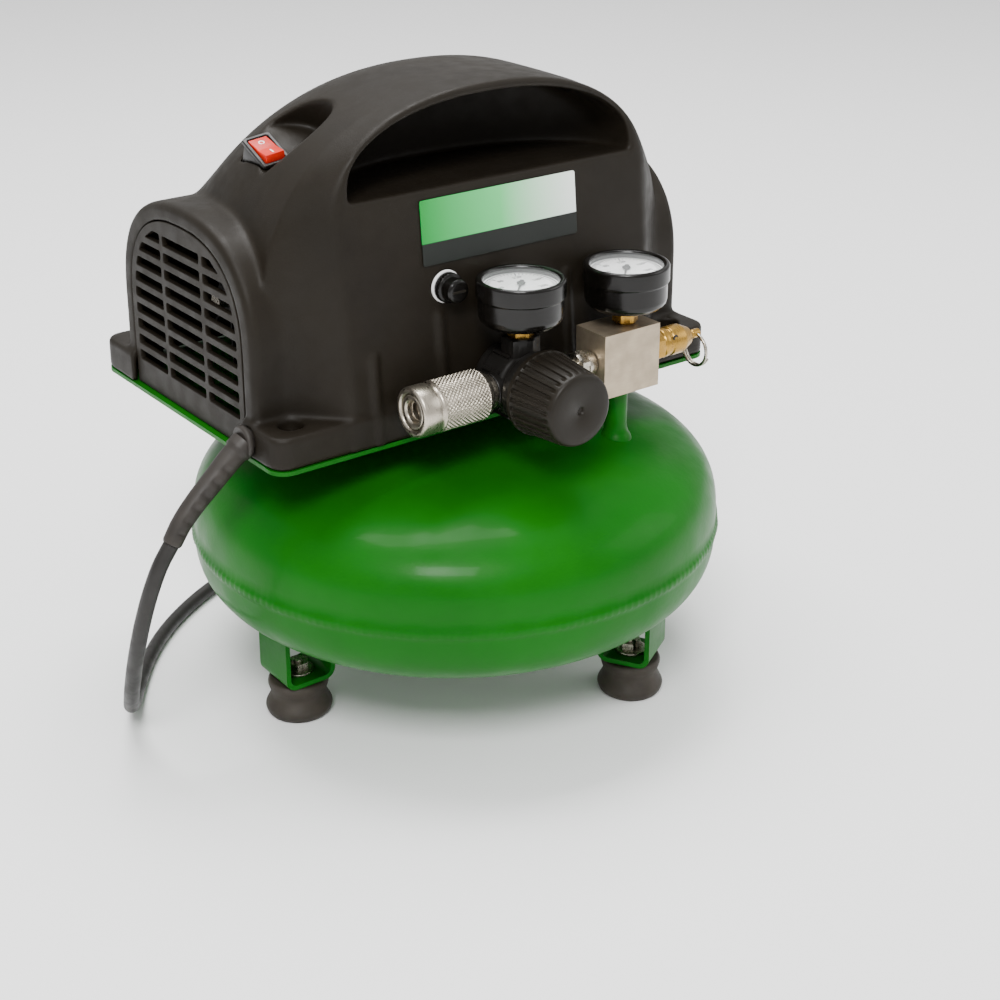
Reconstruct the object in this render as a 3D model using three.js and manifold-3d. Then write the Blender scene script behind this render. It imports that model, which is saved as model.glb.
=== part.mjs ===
// Small oil-free pancake air compressor: a round tank on three bobbin feet, a moulded hood with
// end grilles over the motor and pump, and the outlet manifold, gauges and coupler at the front.
// Millimetres, +Z up, front towards -Y. The origin is on the floor, on the tank's vertical axis.

import * as THREE from 'three';
import { mergeVertices } from 'three/addons/utils/BufferGeometryUtils.js';
import Module from 'manifold-3d';

const wasm = await Module();
wasm.setup();

// ---- Driving dimensions (mm) ----

const GAP = 0.3;

const TANK_R = 134.5;
const TANK_SEAM_Z = 86;
const TANK_UP = 51;
const TANK_DOWN = 47;
const TANK_SHAPE = 3.15;
const TANK_WALL = 2;
const TANK_SEGMENTS = 36;

const LEG_R = 98;
const LEG_ANGLES = [180, 300, 60];
const LEG_NAMES = ['left', 'front_right', 'rear_right'];
const STRAP_LENGTH = 28;
const STRAP_WIDTH = 26;
const STRAP_SHEET = 2.5;
const STRAP_BEND = 6;
const FOOT_HEIGHT = 19.5;
const FOOT_R = 16.9;

const HOOD_X = 130.8;
const HOOD_Y = 87.5;
const HOOD_CENTRE_Y = 40.7;
const HOOD_CORNER = 9;
const HOOD_WALL = 3;
const PLATE_Z = 153.2;
const PLATE_SHEET = 2;
const SKIRT_Z = PLATE_Z + PLATE_SHEET + GAP;
const SKIRT_TOP_Z = 171;
const EAR_X = 114.5;
const EAR_Y = 72.5;
const EAR_HOLE_R = 6;

const BODY_X = 118;
const BODY_BASE_Z = 214.5;
const BODY_POWER = 2.25;
const BODY_TAPER = 5;
const BODY_BACK_Y = 118;
const ROOF_TOP_Z = 315;
const ROOF_R = 54;
const ROOF_Y = 22.5;
const ROOF_TURN_Y = 63;
const FRONT_FOOT_Y = -45.5;
const FRONT_LEAN = 0.095;
const FACE_X = 90;
const FACE_BASE_Z = 260;
const FACE_TOP_Z = 313.5;
const FACE_POWER = 2.15;
const FACE_Y = FRONT_FOOT_Y;
const SIDE_Y = -17;
const BODY_STATIONS = [-60, FACE_Y, -36, -27, SIDE_Y, -5, 8, 22.5, 34, 44, 54, 63, 80, 96, 118];

const POD_X = 128;
const POD_HALF = 64.5;
const POD_BASE_Z = 200;
const POD_RISE = 58;
const GRILLE_HALF = 54.2;
const GRILLE_RISE = 49;
const GRILLE_SHEET = 3;
const LOUVRE_PITCH = 8.35;
const LOUVRE_SLOT = 4.9;
const LOUVRE_ROWS = 9;
const LOUVRE_LOW_Z = 169;
const LOUVRE_BAR = 3;
const LOUVRE_COLUMN = 38.8;

const GRIP_HALF = 84;
const GRIP_Z = 271;
const GRIP_RISE = 40;
const GRIP_DEPTH_Y = 28;

const LINE_X = 53.8;
const LINE_Y = -63.1;
const LINE_Z = 175.9;
const BLOCK_SIZE = [35, 22, 32.6];
const REGULATOR_X = -6.7;
const KNOB_R = 20.8;
const KNOB_FRONT_Y = -108.3;
const KNOB_REAR_Y = -78.3;
const KNOB_FLUTES = 24;
const COUPLER_FACE_X = -69.7;
const COUPLER_R = 12;
const COUPLER_BORE_R = 5.2;

const GAUGE_R = 21.25;
const GAUGE_CUP = 23;
const TANK_GAUGE = [58, LINE_Y, 223.4];
const OUTLET_GAUGE = [REGULATOR_X, LINE_Y, 228.5];

const SWITCH_AT = [-88.8, 24.4, 282.2];
const SWITCH_FORWARD_TILT = 27;
const SWITCH_SIDE_TILT = -7;
const ROCKER_R = 8.3;
const ROCKER_PIVOT = 1;
const FUSE_AT = [-34, -39.8, 223.5];
const BADGE_SIZE = [91, 31];
const BADGE_Z = 250;

const SHAFT_Y = 52;
const SHAFT_Z = 205;
const CRANK_THROW = 4;
const PUMP_X = 40;

const RING_AT = [105.6, LINE_Y, LINE_Z];
const RING_R = 8.6;

const CORD_D = 7.6;
const CORD_Y = -20;
const RELIEF_Z = 163;
const RELIEF_POINTS = [[-132, 162.6], [-140, 156.5], [-149, 148.5], [-158, 140.5], [-166, 132], [-172, 123]];
const COIL_AT = [40, 200, 1.7];
const COIL_MEAN_R = 42;
const COIL_TURNS_WIDE = 2;
const COIL_LAYERS = 3;
const PLUG_AT = [70, 170];
const PLUG_SIZE = [30, 25, 21];

// ---- Materials ----

function material(color, roughness, metalness = 0) {
  return new THREE.MeshStandardMaterial({ color, roughness, metalness });
}

const GREEN = () => material(0x0a9a12, 0.35);
const CHARCOAL = () => material(0x3b3733, 0.7);
const BLACK = () => material(0x141414, 0.45);
const RUBBER = () => material(0x4a4039, 0.85);
const STEEL = () => material(0xb9b9b5, 0.35, 1);
const ALUMINIUM = () => material(0xc9c4b8, 0.45, 1);
const BRASS = () => material(0xb8934a, 0.35, 1);
const WHITE = () => material(0xf0efec, 0.6);
const RED = () => material(0xd6352a, 0.4);
const GLASS = () => material(0xdfe7ea, 0.05);

// ---- Geometry helpers ----

const AXIS_BASES = {
  x: [[0, 1, 0], [0, 0, 1], [1, 0, 0]],
  y: [[1, 0, 0], [0, 0, 1], [0, -1, 0]],
  z: [[1, 0, 0], [0, 1, 0], [0, 0, 1]],
};

function toSolid(geometry) {
  geometry.deleteAttribute('normal');
  geometry.deleteAttribute('uv');
  const merged = mergeVertices(geometry, 1e-4);
  const mesh = new wasm.Mesh({
    numProp: 3,
    vertProperties: new Float32Array(merged.attributes.position.array),
    triVerts: new Uint32Array(merged.index.array),
  });
  return new wasm.Manifold(mesh);
}

function toGeometry(solid) {
  const mesh = solid.getMesh();
  const geometry = new THREE.BufferGeometry();
  geometry.setAttribute('position', new THREE.BufferAttribute(mesh.vertProperties, 3));
  geometry.setIndex(new THREE.BufferAttribute(mesh.triVerts, 1));
  geometry.computeVertexNormals();
  return geometry;
}

function join(first, ...rest) {
  return rest.reduce((sum, next) => sum.add(next), first);
}

function cut(first, ...rest) {
  return rest.reduce((sum, next) => sum.subtract(next), first);
}

// Turns local X, Y, Z onto the axes named by AXIS_BASES, then moves the result.
function place(geometry, axis, [x, y, z]) {
  const basis = AXIS_BASES[axis].map((v) => new THREE.Vector3(...v));
  geometry.applyMatrix4(new THREE.Matrix4().makeBasis(...basis));
  return geometry.translate(x, y, z);
}

function box([sx, sy, sz], [x, y, z]) {
  return toSolid(new THREE.BoxGeometry(sx, sy, sz).translate(x, y, z));
}

// A prism of `shape` along an axis. On 'y' the shape's X and Y become X and Z and the prism runs
// towards -Y; on 'x' they become Y and Z and it runs towards +X.
function prism(shape, depth, axis, at = [0, 0, 0], curveSegments = 4) {
  const geometry = new THREE.ExtrudeGeometry(shape, { depth, bevelEnabled: false, curveSegments });
  return toSolid(place(geometry, axis, at));
}

// A turned piece: [radius, height] pairs along the axis, starting and ending on it, or closed.
function turned(profile, axis, at, segments = 18) {
  const points = profile.map(([r, h]) => new THREE.Vector2(r, h));
  const geometry = new THREE.LatheGeometry(points, segments);
  geometry.rotateX(Math.PI / 2);
  return toSolid(place(geometry, axis, at));
}

function rod(r, length, axis, at, segments = 16) {
  return turned([[0, 0], [r, 0], [r, length], [0, length]], axis, at, segments);
}

function ring(inner, outer, length, axis, at, segments = 18) {
  const profile = [[inner, 0], [outer, 0], [outer, length], [inner, length], [inner, 0]];
  return turned(profile, axis, at, segments);
}

function roundedRectangle(halfX, halfY, corner) {
  const shape = new THREE.Shape();
  shape.moveTo(halfX - corner, -halfY);
  shape.absarc(halfX - corner, -halfY + corner, corner, -Math.PI / 2, 0);
  shape.absarc(halfX - corner, halfY - corner, corner, 0, Math.PI / 2);
  shape.absarc(-halfX + corner, halfY - corner, corner, Math.PI / 2, Math.PI);
  shape.absarc(-halfX + corner, -halfY + corner, corner, Math.PI, Math.PI * 1.5);
  return shape;
}

// A flat-footed arch: straight sides up to baseZ, then a rounded crown of the given rise.
function archShape(half, footZ, baseZ, rise, power = 2.2, steps = 12) {
  const shape = new THREE.Shape();
  shape.moveTo(-half, footZ);
  shape.lineTo(half, footZ);
  for (let i = 0; i <= steps; i += 1) {
    const angle = (Math.PI * i) / steps;
    const c = Math.cos(angle);
    const x = half * Math.sign(c) * Math.abs(c) ** (2 / power);
    const z = baseZ + rise * Math.sin(angle) ** (2 / power);
    shape.lineTo(x, z);
  }
  return shape;
}

function hexShape(acrossFlats) {
  const shape = new THREE.Shape();
  const r = acrossFlats / Math.sqrt(3);
  for (let i = 0; i < 6; i += 1) {
    const angle = (Math.PI * i) / 3;
    shape.lineTo(r * Math.cos(angle), r * Math.sin(angle));
  }
  return shape;
}

const compressor = new THREE.Group();

function add(name, solid, finish, parent = compressor) {
  const mesh = new THREE.Mesh(toGeometry(solid), finish);
  mesh.name = name;
  parent.add(mesh);
  return mesh;
}

// ---- Tank: two drawn heads welded at the seam, an outlet pipe and a drain valve ----

function headPoints(radius, rise, steps = 7) {
  const points = [];
  for (let i = 0; i <= steps; i += 1) {
    const angle = (Math.PI / 2) * (i / steps);
    const r = i === steps ? 0 : radius * Math.cos(angle) ** (2 / TANK_SHAPE);
    points.push([r, rise * Math.sin(angle) ** (2 / TANK_SHAPE)]);
  }
  return points;
}

function tankHead(rise, side) {
  const outer = headPoints(TANK_R, rise);
  const inner = headPoints(TANK_R - TANK_WALL, rise - TANK_WALL);
  const lift = ([r, h]) => [r, side * (h + GAP / 2)];
  const profile = [...inner.reverse().map(lift), ...outer.map(lift)];
  return turned(side > 0 ? profile : profile.reverse(), 'z', [0, 0, TANK_SEAM_Z], TANK_SEGMENTS);
}

function tankEnvelope(extra) {
  const up = headPoints(TANK_R + extra, TANK_UP + extra);
  const down = headPoints(TANK_R + extra, TANK_DOWN + extra).map(([r, h]) => [r, -h]);
  return turned([...down.reverse(), ...up.slice(1)], 'z', [0, 0, TANK_SEAM_Z], TANK_SEGMENTS);
}

function tankTopZ(radius) {
  return TANK_SEAM_Z + TANK_UP * (1 - (radius / TANK_R) ** TANK_SHAPE) ** (1 / TANK_SHAPE);
}

const PIPE_R = 5.5;
const CHECK_VALVE_AT = [72, 70];
const CHECK_VALVE_R = 8;
const DRAIN_R = 6;
const blockTopZ = LINE_Z + BLOCK_SIZE[2] / 2;
const blockBottomZ = LINE_Z - BLOCK_SIZE[2] / 2;
const pipeFootZ = tankTopZ(Math.hypot(LINE_X, LINE_Y)) - 5;
const checkFootZ = tankTopZ(Math.hypot(...CHECK_VALVE_AT)) - 5;
const tankBottomZ = TANK_SEAM_Z - TANK_DOWN;

function buildTank() {
  const pipeHole = rod(PIPE_R + GAP, 60, 'z', [LINE_X, LINE_Y, 100]);
  const checkHole = rod(CHECK_VALVE_R + GAP, 60, 'z', [...CHECK_VALVE_AT, 100]);
  const drainHole = rod(DRAIN_R + GAP, 20, 'z', [0, 0, tankBottomZ - 10]);
  add('tank_upper_shell', cut(tankHead(TANK_UP, 1), pipeHole, checkHole), GREEN());
  add('tank_lower_shell', tankHead(TANK_DOWN, -1).subtract(drainHole), GREEN());
  const pipeLength = blockBottomZ - GAP - pipeFootZ;
  const pipe = ring(3.4, PIPE_R, pipeLength, 'z', [LINE_X, LINE_Y, pipeFootZ]);
  add('tank_outlet_pipe', pipe, GREEN());
  const thread = ring(2, DRAIN_R, 10, 'z', [0, 0, tankBottomZ - 4]);
  const hex = prism(hexShape(15), 6, 'z', [0, 0, tankBottomZ - 9.5]);
  const drainBody = join(thread, hex).subtract(rod(2, 30, 'z', [0, 0, tankBottomZ - 14]));
  add('drain_valve_body', drainBody, BRASS());
  const stem = rod(1.6, 9, 'z', [0, 0, tankBottomZ - 13]);
  const wing = box([20, 3, 7], [0, 0, tankBottomZ - 16]);
  const hub = rod(4, 6, 'z', [0, 0, tankBottomZ - 18]);
  add('drain_valve_knob', join(stem, wing, hub), BRASS());
}

// ---- Legs: a U-shaped strap, a rubber bobbin and its bolt, three times round ----

function strapSolid() {
  const halfLength = STRAP_LENGTH / 2;
  const height = 45;
  const outer = roundedRectangle(halfLength, height / 2, STRAP_BEND);
  const inset = STRAP_BEND - STRAP_SHEET;
  const inner = roundedRectangle(halfLength - STRAP_SHEET, height / 2 - STRAP_SHEET, inset);
  const middleZ = FOOT_HEIGHT + GAP + height / 2;
  const at = [LEG_R, STRAP_WIDTH / 2, middleZ];
  const deepAt = [LEG_R, STRAP_WIDTH, middleZ];
  const loop = cut(prism(outer, STRAP_WIDTH, 'y', at, 4), prism(inner, STRAP_WIDTH * 2, 'y', deepAt, 4));
  return loop.subtract(tankEnvelope(GAP));
}

function footSolid() {
  const profile = [
    [0, 0], [15, 0], [FOOT_R, 4.5], [15.4, 8], [13.9, 11.2], [15.3, 17], [14.8, FOOT_HEIGHT],
    [0, FOOT_HEIGHT],
  ];
  const recess = rod(7, 6, 'z', [0, 0, -1], 12);
  const hole = rod(3.4, 40, 'z', [0, 0, -1], 12);
  return cut(turned(profile, 'z', [0, 0, 0], 16), recess, hole);
}

function footBoltSolid() {
  const shank = rod(3, 25, 'z', [0, 0, 4], 14);
  const head = prism(hexShape(10), 4, 'z', [0, 0, 0.7]);
  const nut = prism(hexShape(10), 5, 'z', [0, 0, FOOT_HEIGHT + STRAP_SHEET + 2 * GAP]);
  return join(shank, head, nut);
}

function buildLegs() {
  const hole = rod(3.4, 20, 'z', [LEG_R, 0, FOOT_HEIGHT - 5], 12);
  const strap = strapSolid().subtract(hole);
  LEG_ANGLES.forEach((angle, i) => {
    const leg = new THREE.Group();
    leg.rotation.z = THREE.MathUtils.degToRad(angle);
    compressor.add(leg);
    add(`leg_strap_${LEG_NAMES[i]}`, strap, GREEN(), leg);
    add(`rubber_foot_${LEG_NAMES[i]}`, footSolid(), RUBBER(), leg).position.x = LEG_R;
    add(`foot_bolt_${LEG_NAMES[i]}`, footBoltSolid(), STEEL(), leg).position.x = LEG_R;
  });
}

// ---- Mounting plate on two channels over the tank ----

const EARS = [[-1, -1], [1, -1], [1, 1], [-1, 1]];

function earCentre([sx, sy]) {
  return [sx * EAR_X, HOOD_CENTRE_Y + sy * EAR_Y];
}

function hoodOutline(inset) {
  return roundedRectangle(HOOD_X - inset, HOOD_Y - inset, HOOD_CORNER - Math.min(inset, 4));
}

function buildPlate() {
  const sheet = prism(hoodOutline(0), PLATE_SHEET, 'z', [0, HOOD_CENTRE_Y, PLATE_Z]);
  const channels = [0, 92].map((y) => {
    const bar = box([150, 24, 40], [0, y, PLATE_Z - 19.9]);
    return bar.subtract(box([160, 19, 40], [0, y, PLATE_Z - 22.5]));
  });
  const screwHoles = EARS.map((ear) => rod(2.6, 20, 'z', [...earCentre(ear), PLATE_Z - 10], 12));
  const checkHole = rod(CHECK_VALVE_R + 3, 20, 'z', [...CHECK_VALVE_AT, PLATE_Z - 10]);
  add('mounting_plate', cut(join(sheet, ...channels), tankEnvelope(GAP), ...screwHoles, checkHole), GREEN());
}

// ---- Hood: one moulding, with a pod at each end, a skirt with four ears and a grip pocket ----

function frontY(z) {
  return FRONT_FOOT_Y + (z - SKIRT_TOP_Z) * FRONT_LEAN;
}

function between(value, from, to, low, high) {
  return low + (high - low) * THREE.MathUtils.clamp((value - from) / (to - from), 0, 1);
}

// Height of the roof's middle line: level at the front, then round and down in a straight slope.
function roofHeight(y, inset) {
  const middleZ = ROOF_TOP_Z - ROOF_R;
  if (y < ROOF_Y) {
    const back = (ROOF_Y - y) / (ROOF_Y - FACE_Y + 4);
    return ROOF_TOP_Z - inset - (ROOF_TOP_Z - FACE_TOP_Z) * Math.min(back, 1) ** 2;
  }
  const r = ROOF_R - inset;
  const turn = (ROOF_TURN_Y - ROOF_Y) * (r / ROOF_R);
  const onArc = Math.min(y - ROOF_Y, turn);
  const slope = turn / Math.sqrt(r * r - turn * turn);
  return middleZ + Math.sqrt(r * r - onArc * onArc) - slope * (y - ROOF_Y - onArc);
}

// The body's section at one depth: a wide low arch behind, a narrower square-shouldered one in front.
function bodySection(y, inset, footZ) {
  const front = between(y - inset, FACE_Y, SIDE_Y, FACE_X, BODY_X);
  const back = between(y + inset, 93, BODY_BACK_Y, 0, 22);
  const half = front - back - inset - between(y, 0, 110, 0, BODY_TAPER);
  const share = [y, FACE_Y, SIDE_Y];
  const lean = between(y, FACE_Y, SIDE_Y, 1, 0);
  const base = between(...share, FACE_BASE_Z, BODY_BASE_Z);
  const power = between(...share, FACE_POWER, BODY_POWER);
  const shape = archShape(half, footZ, base, Math.max(roofHeight(y, inset) - base, 6), power, 16);
  return shape.getPoints().map(({ x, y: z }) => [x, y + lean * (frontY(z) - FRONT_FOOT_Y), z]);
}

// A solid through a row of convex sections with equal numbers of points, laid out along +Y.
function loft(sections) {
  const count = sections[0].length;
  const triangles = [];
  const corner = (row, i) => sections[row][i % count];
  for (let i = 1; i < count - 1; i += 1) {
    const last = sections.length - 1;
    triangles.push(corner(0, 0), corner(0, i), corner(0, i + 1));
    triangles.push(corner(last, 0), corner(last, i + 1), corner(last, i));
  }
  for (let row = 0; row < sections.length - 1; row += 1) {
    for (let i = 0; i < count; i += 1) {
      const [a, b] = [corner(row, i), corner(row, i + 1)];
      const [c, d] = [corner(row + 1, i), corner(row + 1, i + 1)];
      triangles.push(a, c, b, b, c, d);
    }
  }
  const geometry = new THREE.BufferGeometry();
  geometry.setAttribute('position', new THREE.Float32BufferAttribute(triangles.flat(), 3));
  return toSolid(geometry);
}

// The body: its loft cut by the leaning front face and the back, all pulled in by `inset`.
function mainBody(inset, footZ) {
  const face = new THREE.Shape();
  face.moveTo(frontY(footZ) + inset, footZ);
  face.lineTo(frontY(330) + inset, 330);
  face.lineTo(BODY_BACK_Y - inset, 330);
  face.lineTo(BODY_BACK_Y - inset, footZ);
  const stations = BODY_STATIONS.map((y) => bodySection(y, inset, footZ));
  return loft(stations).intersect(prism(face, 280, 'x', [-140, 0, 0]));
}

function podBody(inset, footZ, half = POD_HALF, rise = POD_RISE) {
  const arch = archShape(half - inset, footZ, POD_BASE_Z, rise - inset, 2.5);
  const length = 2 * (POD_X - inset);
  return prism(arch, length, 'x', [-length / 2, HOOD_CENTRE_Y, 0]);
}

function gripPocket(wall) {
  const opening = archShape(GRIP_HALF + wall, GRIP_Z - 5 - wall, GRIP_Z, GRIP_RISE + wall, 2.2, 12);
  const plan = archShape(GRIP_HALF + wall, -80, -38, GRIP_DEPTH_Y + 38 + wall, 2.2, 10);
  return prism(opening, 160, 'y', [0, 60, 0]).intersect(prism(plan, 400, 'z'));
}

function hoodShell() {
  const skirt = prism(hoodOutline(0), SKIRT_TOP_Z - SKIRT_Z, 'z', [0, HOOD_CENTRE_Y, SKIRT_Z]);
  const outer = join(skirt, mainBody(0, SKIRT_Z), podBody(0, SKIRT_Z));
  const cavityFoot = SKIRT_Z - 5;
  const skirtTop = SKIRT_TOP_Z - HOOD_WALL;
  const hollowSkirt = hoodOutline(HOOD_WALL);
  const skirtHollow = prism(hollowSkirt, skirtTop - cavityFoot, 'z', [0, HOOD_CENTRE_Y, cavityFoot]);
  const hollow = join(skirtHollow, mainBody(HOOD_WALL, cavityFoot), podBody(HOOD_WALL, cavityFoot));
  const posts = EARS.map((ear) => rod(9, skirtTop - SKIRT_Z + 2, 'z', [...earCentre(ear), SKIRT_Z]));
  const screwHoles = EARS.map((ear) => rod(2.6, 40, 'z', [...earCentre(ear), SKIRT_Z - 5], 12));
  const counterbores = EARS.map((ear) => rod(EAR_HOLE_R, 20, 'z', [...earCentre(ear), SKIRT_TOP_Z - 9]));
  const windowHalf = GRILLE_HALF + GAP;
  const windowShape = archShape(windowHalf, SKIRT_Z - 5, POD_BASE_Z, GRILLE_RISE + GAP, 2.5);
  const windows = prism(windowShape, 2 * HOOD_X + 20, 'x', [-HOOD_X - 10, HOOD_CENTRE_Y, 0]);
  const ledgeShape = archShape(windowHalf - 4, SKIRT_Z - 5, POD_BASE_Z, GRILLE_RISE - 4, 2.5);
  const ledgeLength = 2 * (POD_X - GRILLE_SHEET - GAP);
  const middle = prism(windowShape, ledgeLength, 'x', [-ledgeLength / 2, HOOD_CENTRE_Y, 0]);
  const through = prism(ledgeShape, 2 * POD_X + 20, 'x', [-POD_X - 10, HOOD_CENTRE_Y, 0]);
  const pockets = join(gripPocket(HOOD_WALL), switchPocket(HOOD_WALL));
  const hollowed = cut(outer, cut(hollow, pockets, ...posts), gripPocket(0), switchPocket(0));
  return cut(hollowed, windows.subtract(middle), through.subtract(mainBody(0, SKIRT_Z - 6)),
    ...screwHoles, ...counterbores, ...hoodCutouts());
}

// Openings for the switch, the fuse holder and the cord's strain relief.
function hoodCutouts() {
  const switchHole = switchBox([13.6, 19.6, 30]);
  const fuseHole = rod(6.3, 30, 'y', [FUSE_AT[0], FUSE_AT[1] + 15, FUSE_AT[2]]);
  const cordHole = rod(6.6, 20, 'x', [-140, CORD_Y, RELIEF_Z]);
  return [switchHole, fuseHole, cordHole];
}

// Moves a geometry from the switch's own frame, +Z out of its panel, to its place on the hood.
function onSwitch(geometry) {
  geometry.rotateX(THREE.MathUtils.degToRad(SWITCH_FORWARD_TILT));
  geometry.rotateY(THREE.MathUtils.degToRad(SWITCH_SIDE_TILT));
  return toSolid(geometry.translate(...SWITCH_AT));
}

function switchBox(size, lift = 0) {
  return onSwitch(new THREE.BoxGeometry(...size).translate(0, 0, lift));
}

// The almond-shaped flat that the switch sits in, cut down into the side of the roof.
function switchPocket(wall) {
  const outline = new THREE.Shape();
  outline.absellipse(6, 0, 25.5 + wall, 16 + wall, 0, Math.PI * 2);
  const options = { depth: 40, bevelEnabled: false, curveSegments: 10 };
  return onSwitch(new THREE.ExtrudeGeometry(outline, options).translate(0, 0, -wall));
}

function louvrePanel() {
  const foot = SKIRT_Z + GAP;
  const face = archShape(GRILLE_HALF, foot, POD_BASE_Z, GRILLE_RISE, 2.5);
  const panel = prism(face, GRILLE_SHEET, 'x', [0, HOOD_CENTRE_Y, 0]);
  const slots = [];
  for (let row = 0; row < LOUVRE_ROWS; row += 1) {
    for (let column = -1; column <= 1; column += 1) {
      const width = LOUVRE_COLUMN - LOUVRE_BAR;
      const z = LOUVRE_LOW_Z + row * LOUVRE_PITCH + LOUVRE_SLOT / 2;
      const y = HOOD_CENTRE_Y + column * LOUVRE_COLUMN;
      slots.push(box([GRILLE_SHEET * 3, width, LOUVRE_SLOT], [GRILLE_SHEET / 2, y, z]));
    }
  }
  const field = archShape(GRILLE_HALF - 4.5, foot, POD_BASE_Z, GRILLE_RISE - 4.5, 2.5);
  const fieldBlock = prism(field, GRILLE_SHEET * 4, 'x', [-GRILLE_SHEET, HOOD_CENTRE_Y, 0]);
  return panel.subtract(join(...slots).intersect(fieldBlock));
}

function buildHood() {
  add('hood_shell', hoodShell(), CHARCOAL());
  const panel = louvrePanel();
  add('end_grille_left', panel, CHARCOAL()).position.x = -POD_X;
  add('end_grille_right', panel, CHARCOAL()).position.x = POD_X - GRILLE_SHEET;
  EARS.forEach((ear, i) => {
    const [x, y] = earCentre(ear);
    const floorZ = SKIRT_TOP_Z - 9 + GAP;
    const head = rod(4.6, 3, 'z', [x, y, floorZ], 12);
    const shank = rod(2.2, floorZ - PLATE_Z + 4, 'z', [x, y, PLATE_Z - 3], 12);
    add(`hood_screw_${i + 1}`, join(head, shank), STEEL());
  });
  const badgeFront = frontY(BADGE_Z) - 0.9;
  const badge = new THREE.BoxGeometry(BADGE_SIZE[0], 0.5, BADGE_SIZE[1]);
  badge.rotateX(-Math.atan(FRONT_LEAN));
  add('front_badge', toSolid(badge.translate(0, badgeFront, BADGE_Z)), WHITE());
}

// ---- Rocker switch and panel fuse holder ----

function buildControls() {
  const flange = switchBox([15, 21, 2], 1 + GAP);
  const well = switchBox([13, 19, 14], -5);
  const opening = switchBox([11, 17.2, 12.2], -1.5);
  add('switch_bezel', cut(join(flange, well), opening), BLACK());
  const profile = new THREE.Shape();
  const onRim = (degrees) => {
    const angle = THREE.MathUtils.degToRad(degrees);
    return [ROCKER_R * Math.cos(angle), ROCKER_PIVOT + ROCKER_R * Math.sin(angle)];
  };
  const near = [148, 165, 185].map(onRim);
  const far = [-20, -8, 6].map(onRim);
  const outline = [...near, [-4.5, -5], [4.5, -5], ...far, [0, ROCKER_PIVOT + 2.2]];
  outline.forEach(([y, z]) => profile.lineTo(y, z));
  const rocker = new THREE.ExtrudeGeometry(profile, { depth: 10, bevelEnabled: false });
  add('switch_rocker', onSwitch(place(rocker, 'x', [-5, 0, 0])), RED());

  const [fx, fy, fz] = FUSE_AT;
  const washer = rod(8.8, 1.4, 'y', [fx, fy - 1.6, fz], 18);
  const barrel = rod(6, 34, 'y', [fx, fy + 32, fz], 16);
  const bore = rod(4, 40, 'y', [fx, fy + 25, fz], 16);
  add('fuse_holder', join(washer, barrel).subtract(bore), WHITE());
  const capFlange = rod(7.3, 3.4, 'y', [fx, fy - 3 - GAP, fz], 18);
  const capTop = rod(5.8, 9, 'y', [fx, fy - 3 - GAP, fz], 18);
  const capPlug = rod(3.4, 12, 'y', [fx, fy + 8, fz], 12);
  add('fuse_cap', join(capFlange, capTop, capPlug), BLACK());
}

// ---- Motor and pump inside the hood ----

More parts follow.
